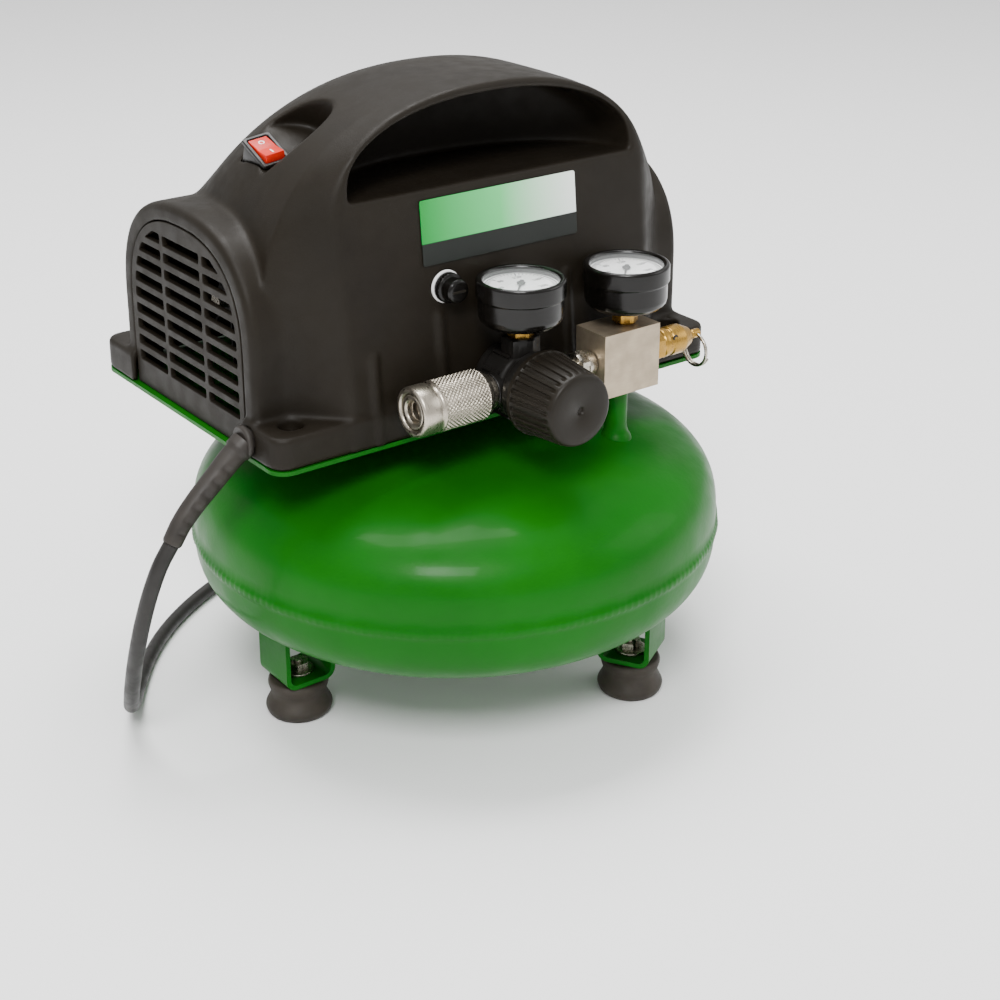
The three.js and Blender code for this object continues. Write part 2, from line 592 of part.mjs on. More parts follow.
function buildPump() {
  const at = (x) => [x, SHAFT_Y, SHAFT_Z];
  const core = box([46, 78, 78], [-30, SHAFT_Y, SHAFT_Z]);
  const coils = ring(24, 34, 66, 'x', at(-63), 18);
  add('motor_stator', join(core, coils).subtract(rod(22, 90, 'x', at(-75), 18)), STEEL());

  const rotorCore = rod(20.5, 50, 'x', at(-55), 18);
  const shaft = rod(4, 152, 'x', at(-105), 12);
  add('motor_rotor', join(rotorCore, shaft), STEEL());

  const fanHub = ring(4.3, 10, 14, 'x', at(-98), 16);
  const backDisc = ring(9, 40, 1.6, 'x', at(-85.6), 18);
  const blades = [];
  for (let i = 0; i < 8; i += 1) {
    const blade = new THREE.BoxGeometry(12, 31, 1.6).translate(-91, 23.5, 0);
    blade.rotateX((Math.PI * i) / 4);
    blades.push(toSolid(blade.translate(0, SHAFT_Y, SHAFT_Z)));
  }
  add('cooling_fan', join(fanHub, backDisc, ...blades), BLACK());

  const discAt = [PUMP_X - 5, SHAFT_Y, SHAFT_Z - CRANK_THROW];
  const disc = rod(11, 10, 'x', discAt, 24);
  add('crank_eccentric', disc.subtract(rod(4.3, 30, 'x', at(PUMP_X - 15), 12)), STEEL());

  const caseBox = box([44, 62, SHAFT_Z + 28 - PLATE_Z - PLATE_SHEET - GAP],
    [PUMP_X - 6, SHAFT_Y, (SHAFT_Z + 28 + PLATE_Z + PLATE_SHEET + GAP) / 2]);
  const caseHollow = box([30, 50, 60], [PUMP_X + 3, SHAFT_Y, SHAFT_Z + 2]);
  const caseMouth = box([30, 50, 80], [PUMP_X + 25, SHAFT_Y, SHAFT_Z + 2]);
  const shaftHole = rod(4.3, 80, 'x', at(0), 12);
  const cylinderHole = rod(17.3, 60, 'z', [PUMP_X, SHAFT_Y, SHAFT_Z + 10], 18);
  add('crankcase', cut(caseBox, caseHollow, caseMouth, shaftHole, cylinderHole), ALUMINIUM());

  const bigEnd = ring(15.6, 19, 9, 'x', at(PUMP_X - 4.5), 18);
  const rodBar = box([7, 9, 24], [PUMP_X, SHAFT_Y, SHAFT_Z + 30]);
  const piston = rod(15.3, 6, 'z', [PUMP_X, SHAFT_Y, SHAFT_Z + 41], 18);
  add('connecting_rod_piston', join(bigEnd, rodBar, piston), ALUMINIUM());

  const sleeveFoot = SHAFT_Z + 22;
  const sleeve = ring(15.7, 17, 30, 'z', [PUMP_X, SHAFT_Y, sleeveFoot], 18);
  const collar = ring(15.7, 22, 3, 'z', [PUMP_X, SHAFT_Y, SHAFT_Z + 28 + GAP], 18);
  add('cylinder_sleeve', join(sleeve, collar), ALUMINIUM());

  const headZ = sleeveFoot + 30 + GAP;
  const headBlock = box([46, 40, 12], [PUMP_X, SHAFT_Y, headZ + 6]);
  const fins = [-17, -8.5, 0, 8.5, 17].map((y) => box([46, 2, 5], [PUMP_X, SHAFT_Y + y, headZ + 14]));
  const headPort = rod(3.6, 40, 'x', [PUMP_X + 12, SHAFT_Y + 10, headZ + 6], 12);
  add('cylinder_head', join(headBlock, ...fins).subtract(headPort), ALUMINIUM());

  const filterAt = [PUMP_X - 12, SHAFT_Y + 29 + GAP, headZ + 5];
  add('intake_filter', rod(8, 9, 'y', filterAt, 20), BLACK());

  const tubeTopZ = headZ + 6;
  const [cx, cy] = CHECK_VALVE_AT;
  const tubePath = new THREE.CatmullRomCurve3([
    new THREE.Vector3(PUMP_X + 20, SHAFT_Y + 10, tubeTopZ),
    new THREE.Vector3(PUMP_X + 34, SHAFT_Y + 11, tubeTopZ),
    new THREE.Vector3(PUMP_X + 41, SHAFT_Y + 15, tubeTopZ - 8),
    new THREE.Vector3(PUMP_X + 40, SHAFT_Y + 21, tubeTopZ - 40),
    new THREE.Vector3(cx, cy, tubeTopZ - 66),
    new THREE.Vector3(cx, cy, 181),
  ]);
  const section = new THREE.Shape();
  section.absarc(0, 0, 3.1, 0, Math.PI * 2);
  const tube = new THREE.ExtrudeGeometry(section, { steps: 20, curveSegments: 4, extrudePath: tubePath });
  add('discharge_tube', toSolid(tube), ALUMINIUM());

  const valveBody = rod(CHECK_VALVE_R, 180 - checkFootZ, 'z', [cx, cy, checkFootZ], 16);
  const valveHex = prism(hexShape(20), 9, 'z', [cx, cy, 162]);
  const valveSeat = rod(3.4, 30, 'z', [cx, cy, 172], 12);
  const valveBore = rod(2.4, 60, 'z', [cx, cy, checkFootZ - 5], 12);
  add('check_valve', cut(join(valveBody, valveHex), valveSeat, valveBore), BRASS());
}

// ---- Outlet line: manifold block, safety valve, regulator, coupler and two gauges ----

function linePoint(x) {
  return [x, LINE_Y, LINE_Z];
}

function buildManifold() {
  const blockRight = LINE_X + BLOCK_SIZE[0] / 2;
  const blockLeft = LINE_X - BLOCK_SIZE[0] / 2;
  const gaugePort = rod(4.6, 20, 'z', [TANK_GAUGE[0], LINE_Y, LINE_Z + 4], 12);
  const linePort = rod(4.6, 80, 'x', linePoint(LINE_X - 40), 12);
  const footPort = rod(3.4, 30, 'z', [LINE_X, LINE_Y, LINE_Z - 30], 12);
  const block = box(BLOCK_SIZE, linePoint(LINE_X));
  add('manifold_block', cut(block, gaugePort, linePort, footPort), ALUMINIUM());

  const nippleLeft = REGULATOR_X + 17 + GAP;
  const nippleThread = rod(4.3, blockLeft + 7 - nippleLeft + 4, 'x', linePoint(nippleLeft - 4), 12);
  const nippleHexAt = linePoint(blockLeft - 10.5);
  const nippleHex = prism(hexShape(14), 5, 'x', nippleHexAt);
  const nippleCollar = rod(6.3, 10, 'x', linePoint(nippleLeft + GAP), 16);
  const nippleBore = rod(2.2, 60, 'x', linePoint(0), 12);
  add('hex_nipple', cut(join(nippleThread, nippleHex, nippleCollar), nippleBore), STEEL());

  const valveStart = blockRight + GAP;
  const valveThread = rod(4.3, 9, 'x', linePoint(valveStart - 7), 12);
  const valveHex = prism(hexShape(15), 9, 'x', linePoint(valveStart));
  const valveBarrel = turned(
    [[0, 0], [7, 0], [7.6, 2], [7.6, 17], [5.4, 20.5], [0, 20.5]], 'x', linePoint(valveStart + 8), 24,
  );
  const valveBore = rod(2.4, 50, 'x', linePoint(valveStart - 10), 12);
  const sideHole = rod(1.3, 30, 'y', [valveStart + 13, LINE_Y, LINE_Z - 3.5], 12);
  const valve = cut(join(valveThread, valveHex, valveBarrel), valveBore, sideHole);
  add('safety_valve_body', valve, BRASS());

  const pinStart = valveStart - 4;
  const pinRod = rod(2, RING_AT[0] + 2.5 - pinStart, 'x', linePoint(pinStart), 12);
  const eye = rod(1.4, 12, 'y', [RING_AT[0], LINE_Y + 6, RING_AT[2]], 12);
  add('safety_valve_pin', pinRod.subtract(eye), BRASS());
  const ringGeometry = new THREE.TorusGeometry(RING_R, 0.9, 6, 24).rotateY(Math.PI / 2);
  const ringAt = [RING_AT[0], LINE_Y, RING_AT[2] - RING_R];
  add('safety_valve_ring', toSolid(ringGeometry.translate(...ringAt)), STEEL());
}

// A round outline with shallow flutes, narrowed to the knob's mean radius.
function knobShape() {
  const shape = new THREE.Shape();
  const pitch = (Math.PI * 2) / KNOB_FLUTES;
  for (let i = 0; i < KNOB_FLUTES; i += 1) {
    [[0, 0], [0.5, 0], [0.62, 1], [0.88, 1]].forEach(([share, depth]) => {
      const angle = (i + share) * pitch;
      const r = KNOB_R - depth;
      shape.lineTo(r * Math.cos(angle), r * Math.sin(angle));
    });
  }
  return shape;
}

function buildRegulator() {
  const [x, y, z] = linePoint(REGULATOR_X);
  const barrel = rod(17, 29, 'y', [x, -47.2, z], 20);
  const bonnet = turned([[0, 0], [18.6, 0], [18.6, 1.5], [0, 1.5]], 'y', [x, -76.2, z], 20);
  const inletPort = rod(8, 6, 'x', [x + 11, y, z], 16);
  const outletPort = rod(8.5, 8, 'x', [x - 18.2, y, z], 16);
  const neck = prism(hexShape(16), 12, 'z', [x, y, z + 12]);
  const bores = [
    rod(4.6, 60, 'x', [x - 30, y, z], 12),
    rod(4.6, 20, 'z', [x, y, z + 8], 12),
    rod(5.4, 12, 'y', [x, -67, z], 12),
  ];
  add('regulator_body', cut(join(barrel, bonnet, inletPort, outletPort, neck), ...bores), BLACK());

  const length = KNOB_REAR_Y - KNOB_FRONT_Y;
  const grip = prism(knobShape(), length - 2, 'y', [x, KNOB_REAR_Y, z]);
  const nose = rod(KNOB_R - 4, 2, 'y', [x, KNOB_FRONT_Y + 2, z], 24);
  const hollow = rod(15, 14, 'y', [x, KNOB_REAR_Y + 1, z], 18);
  const stem = rod(5, 22, 'y', [x, KNOB_REAR_Y + 9, z], 12);
  add('regulator_knob', join(grip.subtract(hollow), nose, stem), CHARCOAL());
}

function buildCoupler() {
  const face = COUPLER_FACE_X;
  const bodyProfile = [
    [COUPLER_BORE_R, 0.6], [8.4, 0.6], [8.4, 44.5], [4.3, 44.5], [4.3, 49], [2.4, 49], [2.4, 30], [COUPLER_BORE_R, 28], [COUPLER_BORE_R, 0.6],
  ];
  add('coupler_body', turned(bodyProfile, 'x', linePoint(face), 18), STEEL());
  const sleeveProfile = [
    [8.8, 0], [11, 0], [COUPLER_R, 1], [COUPLER_R, 9.4], [11.2, 10], [11.2, 11.2], [COUPLER_R + 0.2, 12],
    [COUPLER_R + 0.2, 37.5], [10.4, 40.4], [8.8, 40.4], [8.8, 0],
  ];
  add('coupler_sleeve', turned(sleeveProfile, 'x', linePoint(face), 18), STEEL());
}

function buildGauge(name, [x, y, top], stemFoot) {
  const cup = GAUGE_CUP;
  const foot = top - cup;
  const profile = [
    [0, 0], [16, 0], [20.4, 4], [20.4, 13.6], [GAUGE_R, 14], [GAUGE_R, cup],
    [19.2, cup], [19.2, cup - 5], [0, cup - 5],
  ];
  const shell = turned(profile, 'z', [x, y, foot], 24);
  const stem = rod(4.3, foot - stemFoot + 1, 'z', [x, y, stemFoot], 12);
  add(`${name}_case`, join(shell, stem), BLACK());
  const dial = rod(19.2 - GAP, 0.8, 'z', [x, y, top - 5 + GAP], 24);
  add(`${name}_dial`, dial.subtract(rod(1.2, 4, 'z', [x, y, top - 6], 12)), WHITE());
  const pivot = rod(0.8, 2, 'z', [x, y, top - 5 + GAP], 10);
  const hub = rod(2, 0.6, 'z', [x, y, top - 3.4], 14);
  const needle = new THREE.BoxGeometry(17, 0.9, 0.6).translate(5, 0, 0);
  needle.rotateZ(THREE.MathUtils.degToRad(225)).translate(x, y, top - 3.1);
  add(`${name}_pointer`, join(pivot, hub, toSolid(needle)), BLACK());
  add(`${name}_lens`, rod(19.2 - GAP, 1.4, 'z', [x, y, top - 2], 24), GLASS());
}

// ---- Supply cord: strain relief, free run round the back, tied coil and plug ----

const CORD_POINTS = [
  [-172.2, CORD_Y, 122.7], [-178.4, -19.4, 113], [-183.2, -16.5, 98], [-185.8, -11, 80],
  [-186, -3, 61], [-184, 7, 43], [-180, 19, 26.5], [-174, 33, 13.5], [-165, 48.5, 6.4],
  [-154, 65, 4.4], [-141, 82, 4.2], [-125, 99, 4.2], [-107, 114, 4.2], [-87, 127, 4.2],
  [-65, 138, 4.2], [-42, 146, 4.2], [-18, 151.5, 4.5], [0, 153.7, 5.1], [13.2, 154.2, 5.4],
];

function cordTube(points, radius, steps, segments) {
  const path = new THREE.CatmullRomCurve3(points.map((p) => new THREE.Vector3(...p)));
  const section = new THREE.Shape();
  section.absarc(0, 0, radius, 0, Math.PI * 2);
  const options = { steps, curveSegments: segments, extrudePath: path };
  return toSolid(new THREE.ExtrudeGeometry(section, options));
}

function buildCord() {
  const sleeve = cordTube(RELIEF_POINTS.map(([x, z]) => [x, CORD_Y, z]), 5.2, 8, 4);
  const collar = rod(8, 3, 'x', [-134.2, CORD_Y, RELIEF_Z]);
  const throat = rod(6, 12, 'x', [-134, CORD_Y, RELIEF_Z]);
  add('strain_relief', join(sleeve, collar, throat), RUBBER());
  add('power_cord', cordTube(CORD_POINTS, CORD_D / 2, 36, 2), BLACK());

  const [coilX, coilY, coilZ] = COIL_AT;
  const half = (COIL_TURNS_WIDE * CORD_D) / 2;
  const height = COIL_LAYERS * CORD_D;
  add('cord_coil', ring(COIL_MEAN_R - half, COIL_MEAN_R + half, height, 'z', COIL_AT, 24), BLACK());
  const tieAt = [coilX + COIL_MEAN_R, coilY, coilZ + height / 2];
  const room = [2 * (half + GAP) + 0.5, height + 2 * GAP];
  const band = box([room[0] + 2, 5, room[1] + 2], tieAt);
  add('cord_tie', band.subtract(box([room[0], 9, room[1]], tieAt)), BLACK());

  // The plug lies on top of the coil, pointing along +X, with its two blades and ground pin level.
  const [plugX, plugY] = PLUG_AT;
  const plugZ = coilZ + height + GAP + PLUG_SIZE[2] / 2;
  const grip = box(PLUG_SIZE, [plugX, plugY, plugZ]);
  const boot = turned([[0, 0], [4.6, 0], [6.5, 24], [6.5, 27], [0, 27]], 'x', [plugX - 41, plugY, plugZ], 12);
  const blades = [-6.35, 6.35].map((y) => box([22, 1.6, 6.4], [plugX + 24, plugY + y, plugZ - 4]));
  const pin = rod(2.4, 24, 'x', [plugX + 12, plugY, plugZ + 5], 10);
  add('power_plug', join(grip, boot, ...blades, pin), BLACK());
}

buildTank();
buildLegs();
buildPlate();
buildHood();
buildControls();
buildPump();
buildManifold();
buildRegulator();
buildCoupler();
buildGauge('outlet_gauge', OUTLET_GAUGE, LINE_Z + 20);
buildGauge('tank_gauge', TANK_GAUGE, blockTopZ - 8);
buildCord();

export default compressor;
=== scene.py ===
import math

import bpy
import numpy as np
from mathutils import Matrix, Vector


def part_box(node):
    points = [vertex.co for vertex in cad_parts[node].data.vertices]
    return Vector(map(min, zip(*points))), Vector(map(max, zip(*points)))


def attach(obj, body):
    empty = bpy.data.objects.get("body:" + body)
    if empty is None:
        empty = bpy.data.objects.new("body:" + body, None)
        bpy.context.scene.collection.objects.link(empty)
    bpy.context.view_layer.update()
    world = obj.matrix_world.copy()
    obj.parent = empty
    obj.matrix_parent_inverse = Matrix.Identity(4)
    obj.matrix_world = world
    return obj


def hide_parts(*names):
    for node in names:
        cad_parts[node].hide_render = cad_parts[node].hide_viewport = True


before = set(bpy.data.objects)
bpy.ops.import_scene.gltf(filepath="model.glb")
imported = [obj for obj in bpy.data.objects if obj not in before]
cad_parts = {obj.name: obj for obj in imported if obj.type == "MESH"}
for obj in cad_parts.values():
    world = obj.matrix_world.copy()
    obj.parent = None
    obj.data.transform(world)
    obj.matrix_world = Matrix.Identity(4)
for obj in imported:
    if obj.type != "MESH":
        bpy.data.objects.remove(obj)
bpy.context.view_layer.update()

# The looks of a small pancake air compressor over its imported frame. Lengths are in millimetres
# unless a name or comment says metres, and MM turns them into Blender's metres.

import openvdb
from mathutils import Matrix, Vector

MM = 0.001
TURN = 2 * math.pi

# ---- Driving dimensions, nearly all as in the CAD ----

TANK_R, TANK_SEAM_Z, TANK_UP, TANK_DOWN, TANK_SHAPE = 134.5, 86.0, 51.0, 47.0, 3.15
LEG_R, LEG_ANGLES = 98.0, {"left": 180, "front_right": 300, "rear_right": 60}
HOOD_CENTRE_Y, HOOD_X, HOOD_Y = 40.7, 130.8, 87.5
SKIRT_Z, SKIRT_TOP_Z = 155.5, 171.0
BODY_X, BODY_BASE_Z, BODY_POWER, BODY_TAPER, BODY_BACK_Y = 118.0, 214.5, 2.25, 5.0, 118.0
ROOF_TOP_Z, ROOF_R, ROOF_Y, ROOF_TURN_Y = 315.0, 54.0, 22.5, 63.0
FRONT_FOOT_Y, FRONT_LEAN, SIDE_Y = -45.5, 0.095, -17.0
FACE_X, FACE_BASE_Z, FACE_TOP_Z, FACE_POWER = 90.0, 260.0, 313.5, 2.3
POD_X, POD_HALF, POD_BASE_Z, POD_RISE, POD_POWER = 128.0, 64.5, 200.0, 58.0, 2.5
GRILLE_HALF, GRILLE_RISE, GRILLE_SHEET = 54.2, 49.0, 3.0
LOUVRE_PITCH, LOUVRE_SLOT, LOUVRE_ROWS, LOUVRE_LOW_Z = 8.35, 4.9, 9, 169.0
LOUVRE_BAR, LOUVRE_COLUMN = 3.0, 38.8
GRIP_HALF, GRIP_Z, GRIP_RISE, GRIP_DEPTH_Y = 83.5, 271.0, 38.2, 28.0
EAR_X, EAR_Y, EAR_HOLE_R = 114.5, 72.5, 6.0
SWITCH_AT, SWITCH_FORWARD_TILT, SWITCH_SIDE_TILT = (-88.8, 24.4, 282.2), 27, -7
HOOD_WALL = 3.0
LABEL_BAND = 10.5
KNOB_REAR_Y, KNOB_RIBS = -78.3, 30
KNURL_START, KNURL_END = 12.6, 37.0
GAUGE_CUP, TOP_FIGURE = 23.0, 200
CORD_D, PLUG_AXIS = 7.6, 10.5
RELIEF_X, RELIEF_Z = -134.0, 163.0
COIL_AT, COIL_MEAN_R, COIL_STEPS = (40, 200, 1.7), 42.0, 48
LEAD_START, LEAD_TURN, LEAD_R = 87, 172, 31.0

# The route of the cord where it isn't coiled, in metres.
CORD_POINTS = [
    (-0.1722, -0.0200, 0.1227), (-0.1784, -0.0194, 0.1130), (-0.1832, -0.0165, 0.0980),
    (-0.1858, -0.0110, 0.0800), (-0.1860, -0.0030, 0.0610), (-0.1840, 0.0070, 0.0430),
    (-0.1800, 0.0190, 0.0265), (-0.1740, 0.0330, 0.0135), (-0.1650, 0.0485, 0.0064),
    (-0.1540, 0.0650, 0.0044), (-0.1410, 0.0820, 0.0042), (-0.1250, 0.0990, 0.0042),
    (-0.1070, 0.1140, 0.0042), (-0.0870, 0.1270, 0.0042), (-0.0650, 0.1380, 0.0042),
    (-0.0420, 0.1460, 0.0042), (-0.0180, 0.1515, 0.0045), (0.0000, 0.1537, 0.0051),
    (0.0132, 0.1542, 0.0054),
]
RELIEF_POINTS = [
    (-132, -20, 162.6), (-140, -20, 156.5), (-149, -20, 148.5), (-158, -20, 140.5),
    (-166, -20, 132), (-172, -20, 123),
]


def middle(node):
    """The middle of a CAD node's box, in millimetres."""
    low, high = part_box(node)
    return (low + high) / 2 / MM


def lowest(node):
    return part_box(node)[0] / MM


def highest(node):
    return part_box(node)[1] / MM


def linked(name, data):
    """A new object in the scene."""
    result = bpy.data.objects.new(name, data)
    bpy.context.scene.collection.objects.link(result)
    return result


LINE = middle("manifold_block")
KNOB_X = middle("regulator_knob").x


def on_line(x, y=LINE.y):
    return (x, y, LINE.z)


# ---- Camera and light, in metres ----

LIT_AT = (0, 0, 0.17)


def make_camera():
    data = bpy.data.cameras.new("camera")
    camera = linked("camera", data)
    azimuth, pitch = math.radians(-36.89), math.radians(21.06)
    level = math.cos(pitch)
    back = Vector((math.sin(azimuth) * level, -math.cos(azimuth) * level, math.sin(pitch)))
    camera.location = (-0.4959, -0.6922, 0.4936)
    camera.rotation_mode = "QUATERNION"
    camera.rotation_quaternion = (-back).to_track_quat("-Z", "Y")
    data.sensor_width = 36
    data.lens = 65.15
    data.shift_x = 0.0083
    data.shift_y = -0.1393
    data.clip_start = 0.01
    bpy.context.scene.camera = camera


def area_light(name, place, size, watts):
    data = bpy.data.lights.new(name, "AREA")
    data.shape = "RECTANGLE"
    data.size, data.size_y = size
    data.energy = watts
    light = linked(name, data)
    light.location = place
    light.rotation_mode = "QUATERNION"
    light.rotation_quaternion = (Vector(LIT_AT) - Vector(place)).to_track_quat("-Z", "Y")


def make_studio():
    world = bpy.data.worlds.new("studio")
    world.use_nodes = True
    background = world.node_tree.nodes["Background"]
    background.inputs["Color"].default_value = (1, 1, 1, 1)
    background.inputs["Strength"].default_value = 0.85
    bpy.context.scene.world = world
    area_light("key", (-1.1, -1.3, 1.9), (0.9, 0.7), 60)
    area_light("fill", (1.6, -1.0, 1.1), (1.2, 1.0), 9)
    area_light("top", (0.1, 0.5, 2.0), (1.4, 1.0), 60)
    floor = bpy.data.meshes.new("floor")
    floor.from_pydata([(-6, -6, 0), (6, -6, 0), (6, 6, 0), (-6, 6, 0)], [], [(0, 1, 2, 3)])
    floor_object = linked("floor", floor)
    pale = bpy.data.materials.new("floor_paper")
    pale.use_nodes = True
    shader = pale.node_tree.nodes["Principled BSDF"]
    shader.inputs["Base Color"].default_value = (0.9, 0.9, 0.9, 1)
    shader.inputs["Roughness"].default_value = 0.9
    floor.materials.append(pale)


# ---- Materials ----


class Finish:
    """A Principled material built up from procedural nodes in object space."""

    def __init__(self, name, color, roughness, metallic=0.0, **inputs):
        self.material = bpy.data.materials.new(name)
        self.material.use_nodes = True
        self.nodes = self.material.node_tree.nodes
        self.links = self.material.node_tree.links
        self.shader = self.nodes["Principled BSDF"]
        self.color = color
        self.roughness = roughness
        self.fill(self.shader, Base_Color=(*color, 1), Roughness=roughness, Metallic=metallic, **inputs)
        self.coordinates = self.nodes.new("ShaderNodeTexCoord").outputs["Object"]
        self.normal = None

    @staticmethod
    def fill(node, **inputs):
        """Sets a node's inputs, whose names have _ for a space."""
        for key, value in inputs.items():
            node.inputs[key.replace("_", " ")].default_value = value
        return node

    def texture(self, kind, size, stretch=(1, 1, 1), **inputs):
        """A texture whose features are about `size` millimetres across, drawn out along `stretch`."""
        scale = [1 / (size * MM * s) for s in stretch]
        mapping = self.fill(self.nodes.new("ShaderNodeMapping"), Scale=scale)
        self.links.new(self.coordinates, mapping.inputs["Vector"])
        texture = self.fill(self.nodes.new(kind), Scale=1.0, **inputs)
        self.links.new(mapping.outputs["Vector"], texture.inputs["Vector"])
        return texture.outputs

    def noise(self, size, detail=3.0, stretch=(1, 1, 1)):
        return self.texture("ShaderNodeTexNoise", size, stretch, Detail=detail)["Fac"]

    def speckle(self, size):
        return self.texture("ShaderNodeTexVoronoi", size)["Distance"]

    def spread(self, value, low, high, start=0.35, end=0.65):
        """Maps a noise value onto low..high."""
        node = self.nodes.new("ShaderNodeMapRange")
        self.fill(node, From_Min=start, From_Max=end, To_Min=low, To_Max=high)
        self.links.new(value, node.inputs["Value"])
        return node.outputs["Result"]

    def mottle(self, size, detail, factor):
        """Shades the colour in patches between itself and itself times `factor`."""
        self.mix_to(self.spread(self.noise(size, detail), 0, 1), (min(1.0, c * factor) for c in self.color))
        return self

    def mix_to(self, share, other):
        """Mixes the base colour towards another one. Returns the mix's own first colour socket."""
        mix = self.nodes.new("ShaderNodeMix")
        mix.data_type = "RGBA"
        self.fill(mix, A=(*self.color, 1), B=(*other, 1))
        self.links.new(share, mix.inputs["Factor"])
        self.links.new(mix.outputs["Result"], self.shader.inputs["Base Color"])
        return mix.inputs["A"]

    def vary_roughness(self, value, amount):
        low, high = self.roughness - amount, self.roughness + amount
        self.links.new(self.spread(value, low, high), self.shader.inputs["Roughness"])
        return self

    def bump(self, value, height, strength=1.0):
        """Raises the surface by `height` millimetres where the value is 1."""
        node = self.fill(self.nodes.new("ShaderNodeBump"), Strength=strength, Distance=height * MM)
        self.links.new(value, node.inputs["Height"])
        if self.normal is not None:
            self.links.new(self.normal, node.inputs["Normal"])
        self.normal = node.outputs["Normal"]
        self.links.new(self.normal, self.shader.inputs["Normal"])
        return self


def paint_finish(name, color):
    finish = Finish(name, color, 0.4, Specular_IOR_Level=0.12, Coat_Weight=0.04, Coat_Roughness=0.08)
    finish.mottle(60, 3, 0.82)
    finish.vary_roughness(finish.noise(18), 0.06)
    finish.bump(finish.noise(2.6, 2.0), 0.06)
    return finish.bump(finish.noise(22, 1.0), 0.25, 0.6).material


def textured_plastic(name, color, roughness=0.5, grain=0.5, depth=0.05):
    finish = Finish(name, color, roughness, Specular_IOR_Level=0.16)
    finish.mottle(35, 4, 1.22)
    finish.vary_roughness(finish.noise(9, 3), 0.06)
    finish.bump(finish.speckle(grain), depth, 0.7)
    return finish.bump(finish.noise(grain * 0.8, 2), depth, 0.6).material


def gloss_plastic(name, color, roughness=0.22):
    finish = Finish(name, color, roughness, Specular_IOR_Level=0.28, Coat_Weight=0.04, Coat_Roughness=0.1)
    finish.mottle(12, 3, 1.3)
    finish.vary_roughness(finish.noise(5, 3), 0.05)
    return finish.bump(finish.noise(1.2, 2), 0.012, 0.6).material


def rubber_finish(name, color, roughness=0.62):
    finish = Finish(name, color, roughness, Specular_IOR_Level=0.35)
    finish.mottle(14, 4, 1.5)
    finish.vary_roughness(finish.noise(6, 3), 0.08)
    return finish.bump(finish.noise(0.5, 3), 0.03, 0.7).material


def metal_finish(name, color, roughness, stretch=(1, 1, 1), scratch=0.6, depth=0.01, metallic=1.0):
    finish = Finish(name, color, roughness, metallic)
    finish.mottle(8, 4, 0.8)
    finish.vary_roughness(finish.noise(scratch, 4, stretch), 0.09)
    return finish.bump(finish.noise(scratch, 3, stretch), depth, 0.8).material


def label_finish():
    """A pale printed label: green fading to white from left to right, over a dark plain band."""
    finish = Finish("label_print", (0.8, 0.84, 0.8), 0.4, Specular_IOR_Level=0.25)
    nodes, links = finish.nodes, finish.links
    split = nodes.new("ShaderNodeSeparateXYZ")
    links.new(finish.coordinates, split.inputs["Vector"])
    low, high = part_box("front_badge")
    ramp = nodes.new("ShaderNodeValToRGB")
    stops = ramp.color_ramp.elements
    stops[0].position, stops[0].color = 0.0, (0.0, 0.26, 0.035, 1)
    stops[1].position, stops[1].color = 1.0, (0.86, 0.9, 0.86, 1)
    middle_stop = stops.new(0.5)
    middle_stop.color = (0.1, 0.56, 0.18, 1)
    links.new(finish.spread(split.outputs["X"], 0, 1, low.x, high.x), ramp.inputs["Fac"])
    band_top = low.z + LABEL_BAND * MM
    band = finish.spread(split.outputs["Z"], 1, 0, band_top, band_top + 0.0002)
    links.new(ramp.outputs["Color"], finish.mix_to(band, (0.012, 0.014, 0.012)))
    return finish.bump(finish.noise(3, 2), 0.02, 0.4).material


def lens_finish():
    finish = Finish("gauge_lens", (0.96, 0.98, 0.98), 0.05, Alpha=0.1)
    return finish.vary_roughness(finish.noise(4, 2), 0.015).material


GREEN = paint_finish("green_enamel", (0.0, 0.105, 0.0))
HOOD = textured_plastic("charcoal_moulding", (0.0092, 0.0070, 0.0044))
KNOB = textured_plastic("knob_moulding", (0.0105, 0.0085, 0.006), 0.42, 0.7, 0.02)
BLACK = gloss_plastic("black_moulding", (0.003, 0.0025, 0.002))
SATIN_BLACK = gloss_plastic("satin_black", (0.0065, 0.0058, 0.005), 0.38)
RED = gloss_plastic("red_rocker", (0.5, 0.014, 0.004), 0.42)
WHITE = gloss_plastic("white_print", (0.82, 0.82, 0.8), 0.4)
# This dark ink also paints the relief valve's vent port as painted shade, besides the gauges' print and
# needles.
INK_AND_PORT_SHADE = gloss_plastic("printed_ink_and_port_shade", (0.012, 0.012, 0.013), 0.45)
RUBBER = rubber_finish("foot_rubber", (0.024, 0.019, 0.014))
CORD = rubber_finish("cord_jacket", (0.008, 0.007, 0.006), 0.5)
RELIEF = rubber_finish("relief_rubber", (0.016, 0.013, 0.0105), 0.55)
ZINC = metal_finish("zinc_plate", (0.5, 0.46, 0.39), 0.3, depth=0.0015)
STEEL = metal_finish("turned_steel", (0.5, 0.45, 0.37), 0.34, (1, 8, 8), 0.35, 0.0012)
ALUMINIUM = metal_finish("milled_aluminium", (0.44, 0.36, 0.26), 0.42, (16, 1, 1), 0.35, 0.004, 0.8)
CAST = metal_finish("cast_aluminium", (0.3, 0.3, 0.28), 0.55, scratch=1.5, depth=0.01)
BRASS = metal_finish("machined_brass", (0.42, 0.24, 0.045), 0.32, (1, 6, 6), 0.4, 0.0015, 0.85)
LENS = lens_finish()
LABEL = label_finish()

# ---- Mesh helpers ----

AXES = {
    "x": ((0, 1, 0), (0, 0, 1), (1, 0, 0)),
    "y": ((1, 0, 0), (0, 0, 1), (0, -1, 0)),
    "z": ((1, 0, 0), (0, 1, 0), (0, 0, 1)),
}


def placed(axis, at):
    """Turns local X, Y, Z onto the axes named in AXES and moves the result to `at`."""
    return Matrix.Translation(Vector(at)) @ Matrix(AXES[axis]).transposed().to_4x4()


